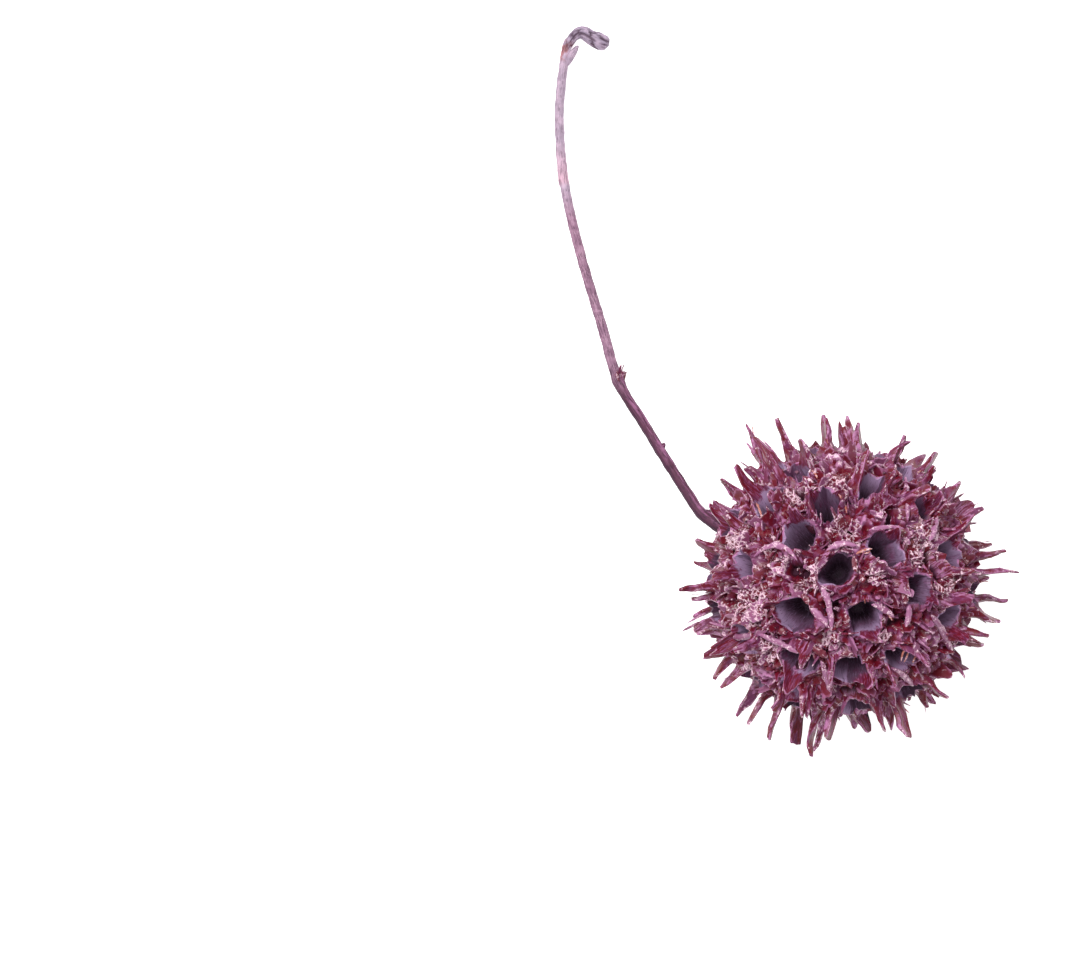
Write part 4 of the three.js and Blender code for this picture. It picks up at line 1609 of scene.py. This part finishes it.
def tissue_material(context):
    """Broken tissue: every crumb and flake its own mix of maroon, plum and lilac, paler along free edges."""
    dyes = context.scene.sweetgum_dyes
    material, tree, shader, coordinates = new_material("broken_tissue")
    tone = attribute(tree, "tone")
    colour = colour_ramp(tree, tone, (
        (0.0, dyes.shade),
        (0.15, dyes.maroon),
        (0.5, dyes.maroon),
        (0.64, dyes.plum),
        (0.82, dyes.lilac),
        (1.0, dyes.frost),
    ))
    patch, height = mottled(tree, coordinates, coordinates, 1.2 * MM, 1100.0, dyes.maroon, dyes.plum)
    colour = mixed(tree, 0.35, colour, patch)
    wander = noise_of(tree, coordinates, 1.2 * MM, detail=3.0)
    free = times(tree, ramp(tree, attribute(tree, "edge"), 0.7, 1.0), ramp(tree, wander, 0.4, 0.56))
    colour = mixed(tree, times(tree, free, 0.55), colour, dyes.lilac)
    cover = plus(tree, times(tree, free, 0.25), times(tree, attribute(tree, "dust"), 0.85))
    colour, dust = frosted(tree, coordinates, 1.0 * MM, cover, colour, dyes.frost)
    set_inputs(tree, shader, {
        "Base Color": colour,
        "Roughness": plus(tree, times(tree, tone, 0.5), 0.2),
        "Specular IOR Level": 0.4,
    })
    bump(tree, shader, plus(tree, height, dust), 0.08 * MM, 0.8)
    return material


def fibre_material(context):
    """Torn fibres: most dyed, a few of bare wood."""
    made = bpy.data.materials.get("torn_fibre")
    if made:
        return made
    dyes = context.scene.sweetgum_dyes
    material, tree, shader, coordinates = new_material("torn_fibre")
    colour = colour_ramp(tree, attribute(tree, "tone"), (
        (0.0, dyes.maroon),
        (0.45, dyes.plum),
        (0.82, dyes.lilac),
        (0.9, dyes.fibre),
    ))
    patch, height = mottled(tree, coordinates, coordinates, 0.9 * MM, 700.0, dyes.maroon, dyes.plum)
    colour = mixed(tree, 0.25, colour, patch)
    colour, dust = frosted(tree, coordinates, 0.6 * MM, 0.3, colour, dyes.frost)
    set_inputs(tree, shader, {
        "Base Color": colour,
        "Roughness": plus(tree, times(tree, dust, 0.3), 0.45),
    })
    bump(tree, shader, height, 0.06 * MM, 0.6)
    return material


def bark_material(context):
    """Dyed bark: plum by the head, pale lilac towards the foot, specked, bare at the joint and the hook. Near
    the head one side carries lilac streaks as painted light and the other is darker with painted shade.
    """
    made = bpy.data.materials.get("dyed_bark")
    if made:
        return made
    dyes = context.scene.sweetgum_dyes
    joint = context.scene.sweetgum_stem.joint_at
    material, tree, shader, coordinates = new_material("dyed_bark")
    grain = attribute(tree, "grain", "Vector")
    along = attribute(tree, "along")
    colour = colour_ramp(tree, along, (
        (0.0, dyes.bark_dark),
        (0.31, dyes.bark_dark),
        (0.38, dyes.bark_middle),
        (joint - 0.06, dyes.bark_middle),
        (joint - 0.004, dyes.bark_pale),
        (joint + 0.004, dyes.bark_bare),
        (joint + 0.07, dyes.bark_pale),
        (0.9, dyes.bark_pale),
        (0.94, dyes.bark_grey),
    ))
    streaks, height = mottled(tree, coordinates, grain, 0.9 * MM, 3.4, dyes.bark_dark, dyes.bark_bare)
    far = ramp(tree, along, 0.28, 0.4)
    colour = mixed(tree, times(tree, far, 0.25), colour, streaks)
    near = maths(tree, "SUBTRACT", 1.0, far)
    side = first_part(tree, grain)
    flecks = times(tree, ramp(tree, streak_of(tree, grain, 2.6), 0.42, 0.62), near)
    # Lilac streaks, kept to one side of the stem as painted light
    colour = mixed(tree, times(tree, flecks, ramp(tree, side, -0.5, 0.6, 0.6)), colour, dyes.lilac)
    # Painted shade: the other side of the stem near the head is darker
    colour = mixed(tree, times(tree, near, ramp(tree, side, -0.2, -0.8, 0.7)), colour, dyes.bark_speck_and_shade)
    wander = noise_of(tree, coordinates, 0.8 * MM)
    hook = times(tree, ramp(tree, along, 0.888, 0.9), ramp(tree, along, 0.932, 0.915))
    worn = times(tree, hook, ramp(tree, wander, 0.4, 0.52, 0.8))
    colour = mixed(tree, worn, colour, dyes.bark_salmon)
    speck = streak_of(tree, grain, 5.0)
    dark = times(tree, ramp(tree, speck, 0.47, 0.6), ramp(tree, wander, 0.4, 0.54))
    strength = maths(tree, "SUBTRACT", 0.85, ramp(tree, along, 0.5, 0.75, 0.3))
    dark = plus(tree, times(tree, dark, strength), attribute(tree, "crack"))
    set_inputs(tree, shader, {
        "Base Color": mixed(tree, times(tree, dark, 0.85), colour, dyes.bark_speck_and_shade),
        "Roughness": plus(tree, times(tree, wander, 0.4), 0.4),
        "Specular IOR Level": 0.2,
    })
    bump(tree, shader, plus(tree, height, speck), 0.08 * MM, 0.7)
    return material


# Stage: the floor's half width in metres, its glow, the room's light and the camera's height in metres

FLOOR_HALF = 2.0
FLOOR_GLOW = 0.75
ROOM_LIGHT = 0.45
CAMERA_HEIGHT = 4.0

# Light panels: name, offset from the ball's middle and side in metres, and power in watts
LIGHT_PANELS = (
    ("sky_panel", (-0.1, 0.2, 1.3), 1.6, 9.0),
    ("key_panel", (-0.3, 0.4, 1.0), 0.35, 9.6),
)


class SWEETGUM_OT_stage(bpy.types.Operator):
    """Lay the floor, hang the soft lights and set the camera straight above"""

    bl_idname = "sweetgum.stage"
    bl_label = "Stage"

    def execute(self, context):
        scene = context.scene
        self.lay_floor()
        self.hang_lights(scene)
        self.set_camera(scene)
        scene.view_settings.view_transform = "Standard"
        return {"FINISHED"}

    def lay_floor(self):
        bm = bmesh.new()
        bmesh.ops.create_grid(bm, x_segments=1, y_segments=1, size=FLOOR_HALF)
        floor = object_of("floor", mesh_of(bm, "floor"))
        material, tree, shader, coordinates = new_material("pale_floor")
        paper = noise_of(tree, coordinates, 4.0 * MM)
        colour = mixed(tree, paper, (0.92, 0.92, 0.92, 1.0), (0.95, 0.95, 0.95, 1.0))
        set_inputs(tree, shader, {
            "Base Color": colour,
            "Emission Color": colour,
            "Emission Strength": FLOOR_GLOW,
            "Roughness": 0.9,
            "Specular IOR Level": 0.2,
        })
        floor.data.materials.append(material)

    def hang_lights(self, scene):
        world = bpy.data.worlds.new("soft_room")
        world.use_nodes = True
        background = world.node_tree.nodes["Background"]
        set_inputs(world.node_tree, background, {"Color": (1.0, 1.0, 1.0, 1.0), "Strength": ROOM_LIGHT})
        scene.world = world
        for name, offset, size, power in LIGHT_PANELS:
            self.hang_panel(name, Vector(offset), size, power)

    def hang_panel(self, name, offset, size, power):
        light = bpy.data.lights.new(name, "AREA")
        light.shape = "SQUARE"
        light.size = size
        light.energy = power
        lamp = object_of(name, light)
        lamp.location = BALL_MIDDLE + offset
        lamp.rotation_euler = (-offset).to_track_quat("-Z", "Y").to_euler()

    def set_camera(self, scene):
        """Looks straight down at the point that is in the middle of the photograph."""
        aim = BALL_MIDDLE.copy()
        aim.x += (PHOTO_WIDTH / 2.0 - BALL_PIXEL[0]) * PIXEL
        aim.y += (BALL_PIXEL[1] - PHOTO_HEIGHT / 2.0) * PIXEL
        lens = bpy.data.cameras.new("camera")
        lens.sensor_fit = "HORIZONTAL"
        lens.lens = lens.sensor_width * CAMERA_HEIGHT / (PHOTO_WIDTH * PIXEL)
        lens.clip_start = 0.01
        lens.clip_end = 10.0
        camera = object_of("camera", lens)
        camera.location = aim + Vector((0.0, 0.0, CAMERA_HEIGHT))
        scene.camera = camera


class SWEETGUM_PT_panel(bpy.types.Panel):
    """Sidebar panel with the seed ball's pieces, sizes and colours"""

    bl_idname = "SWEETGUM_PT_panel"
    bl_label = "Sweetgum seed ball"
    bl_space_type = "VIEW_3D"
    bl_region_type = "UI"
    bl_category = "Sweetgum"

    def draw(self, context):
        for operator in OPERATORS:
            self.layout.operator(operator.bl_idname)
        for setting in SETTINGS:
            group = getattr(context.scene, setting)
            box = self.layout.box()
            for name in group.bl_rna.properties.keys():
                if name not in {"rna_type", "name"}:
                    box.prop(group, name)


OPERATORS = (
    SWEETGUM_OT_stage,
    SWEETGUM_OT_head,
    SWEETGUM_OT_crust,
    SWEETGUM_OT_tissue,
    SWEETGUM_OT_fibres,
    SWEETGUM_OT_stem,
    SWEETGUM_OT_stem_scales,
)
SETTINGS = {
    "sweetgum_head": SweetgumHead,
    "sweetgum_tissue": SweetgumTissue,
    "sweetgum_stem": SweetgumStem,
    "sweetgum_dyes": SweetgumDyes,
}
CLASSES = (*SETTINGS.values(), *OPERATORS, SWEETGUM_PT_panel)


def register():
    noise.seed_set(NOISE_SEED)
    for cls in CLASSES:
        bpy.utils.register_class(cls)
    for name, group in SETTINGS.items():
        setattr(bpy.types.Scene, name, PointerProperty(type=group))


def unregister():
    for name in SETTINGS:
        delattr(bpy.types.Scene, name)
    for cls in reversed(CLASSES):
        bpy.utils.unregister_class(cls)


def main():
    register()
    bpy.ops.sweetgum.stage()
    bpy.ops.sweetgum.head()
    bpy.ops.sweetgum.crust()
    bpy.ops.sweetgum.tissue()
    bpy.ops.sweetgum.fibres()
    bpy.ops.sweetgum.stem()
    bpy.ops.sweetgum.stem_scales()


if __name__ == "__main__":
    main()
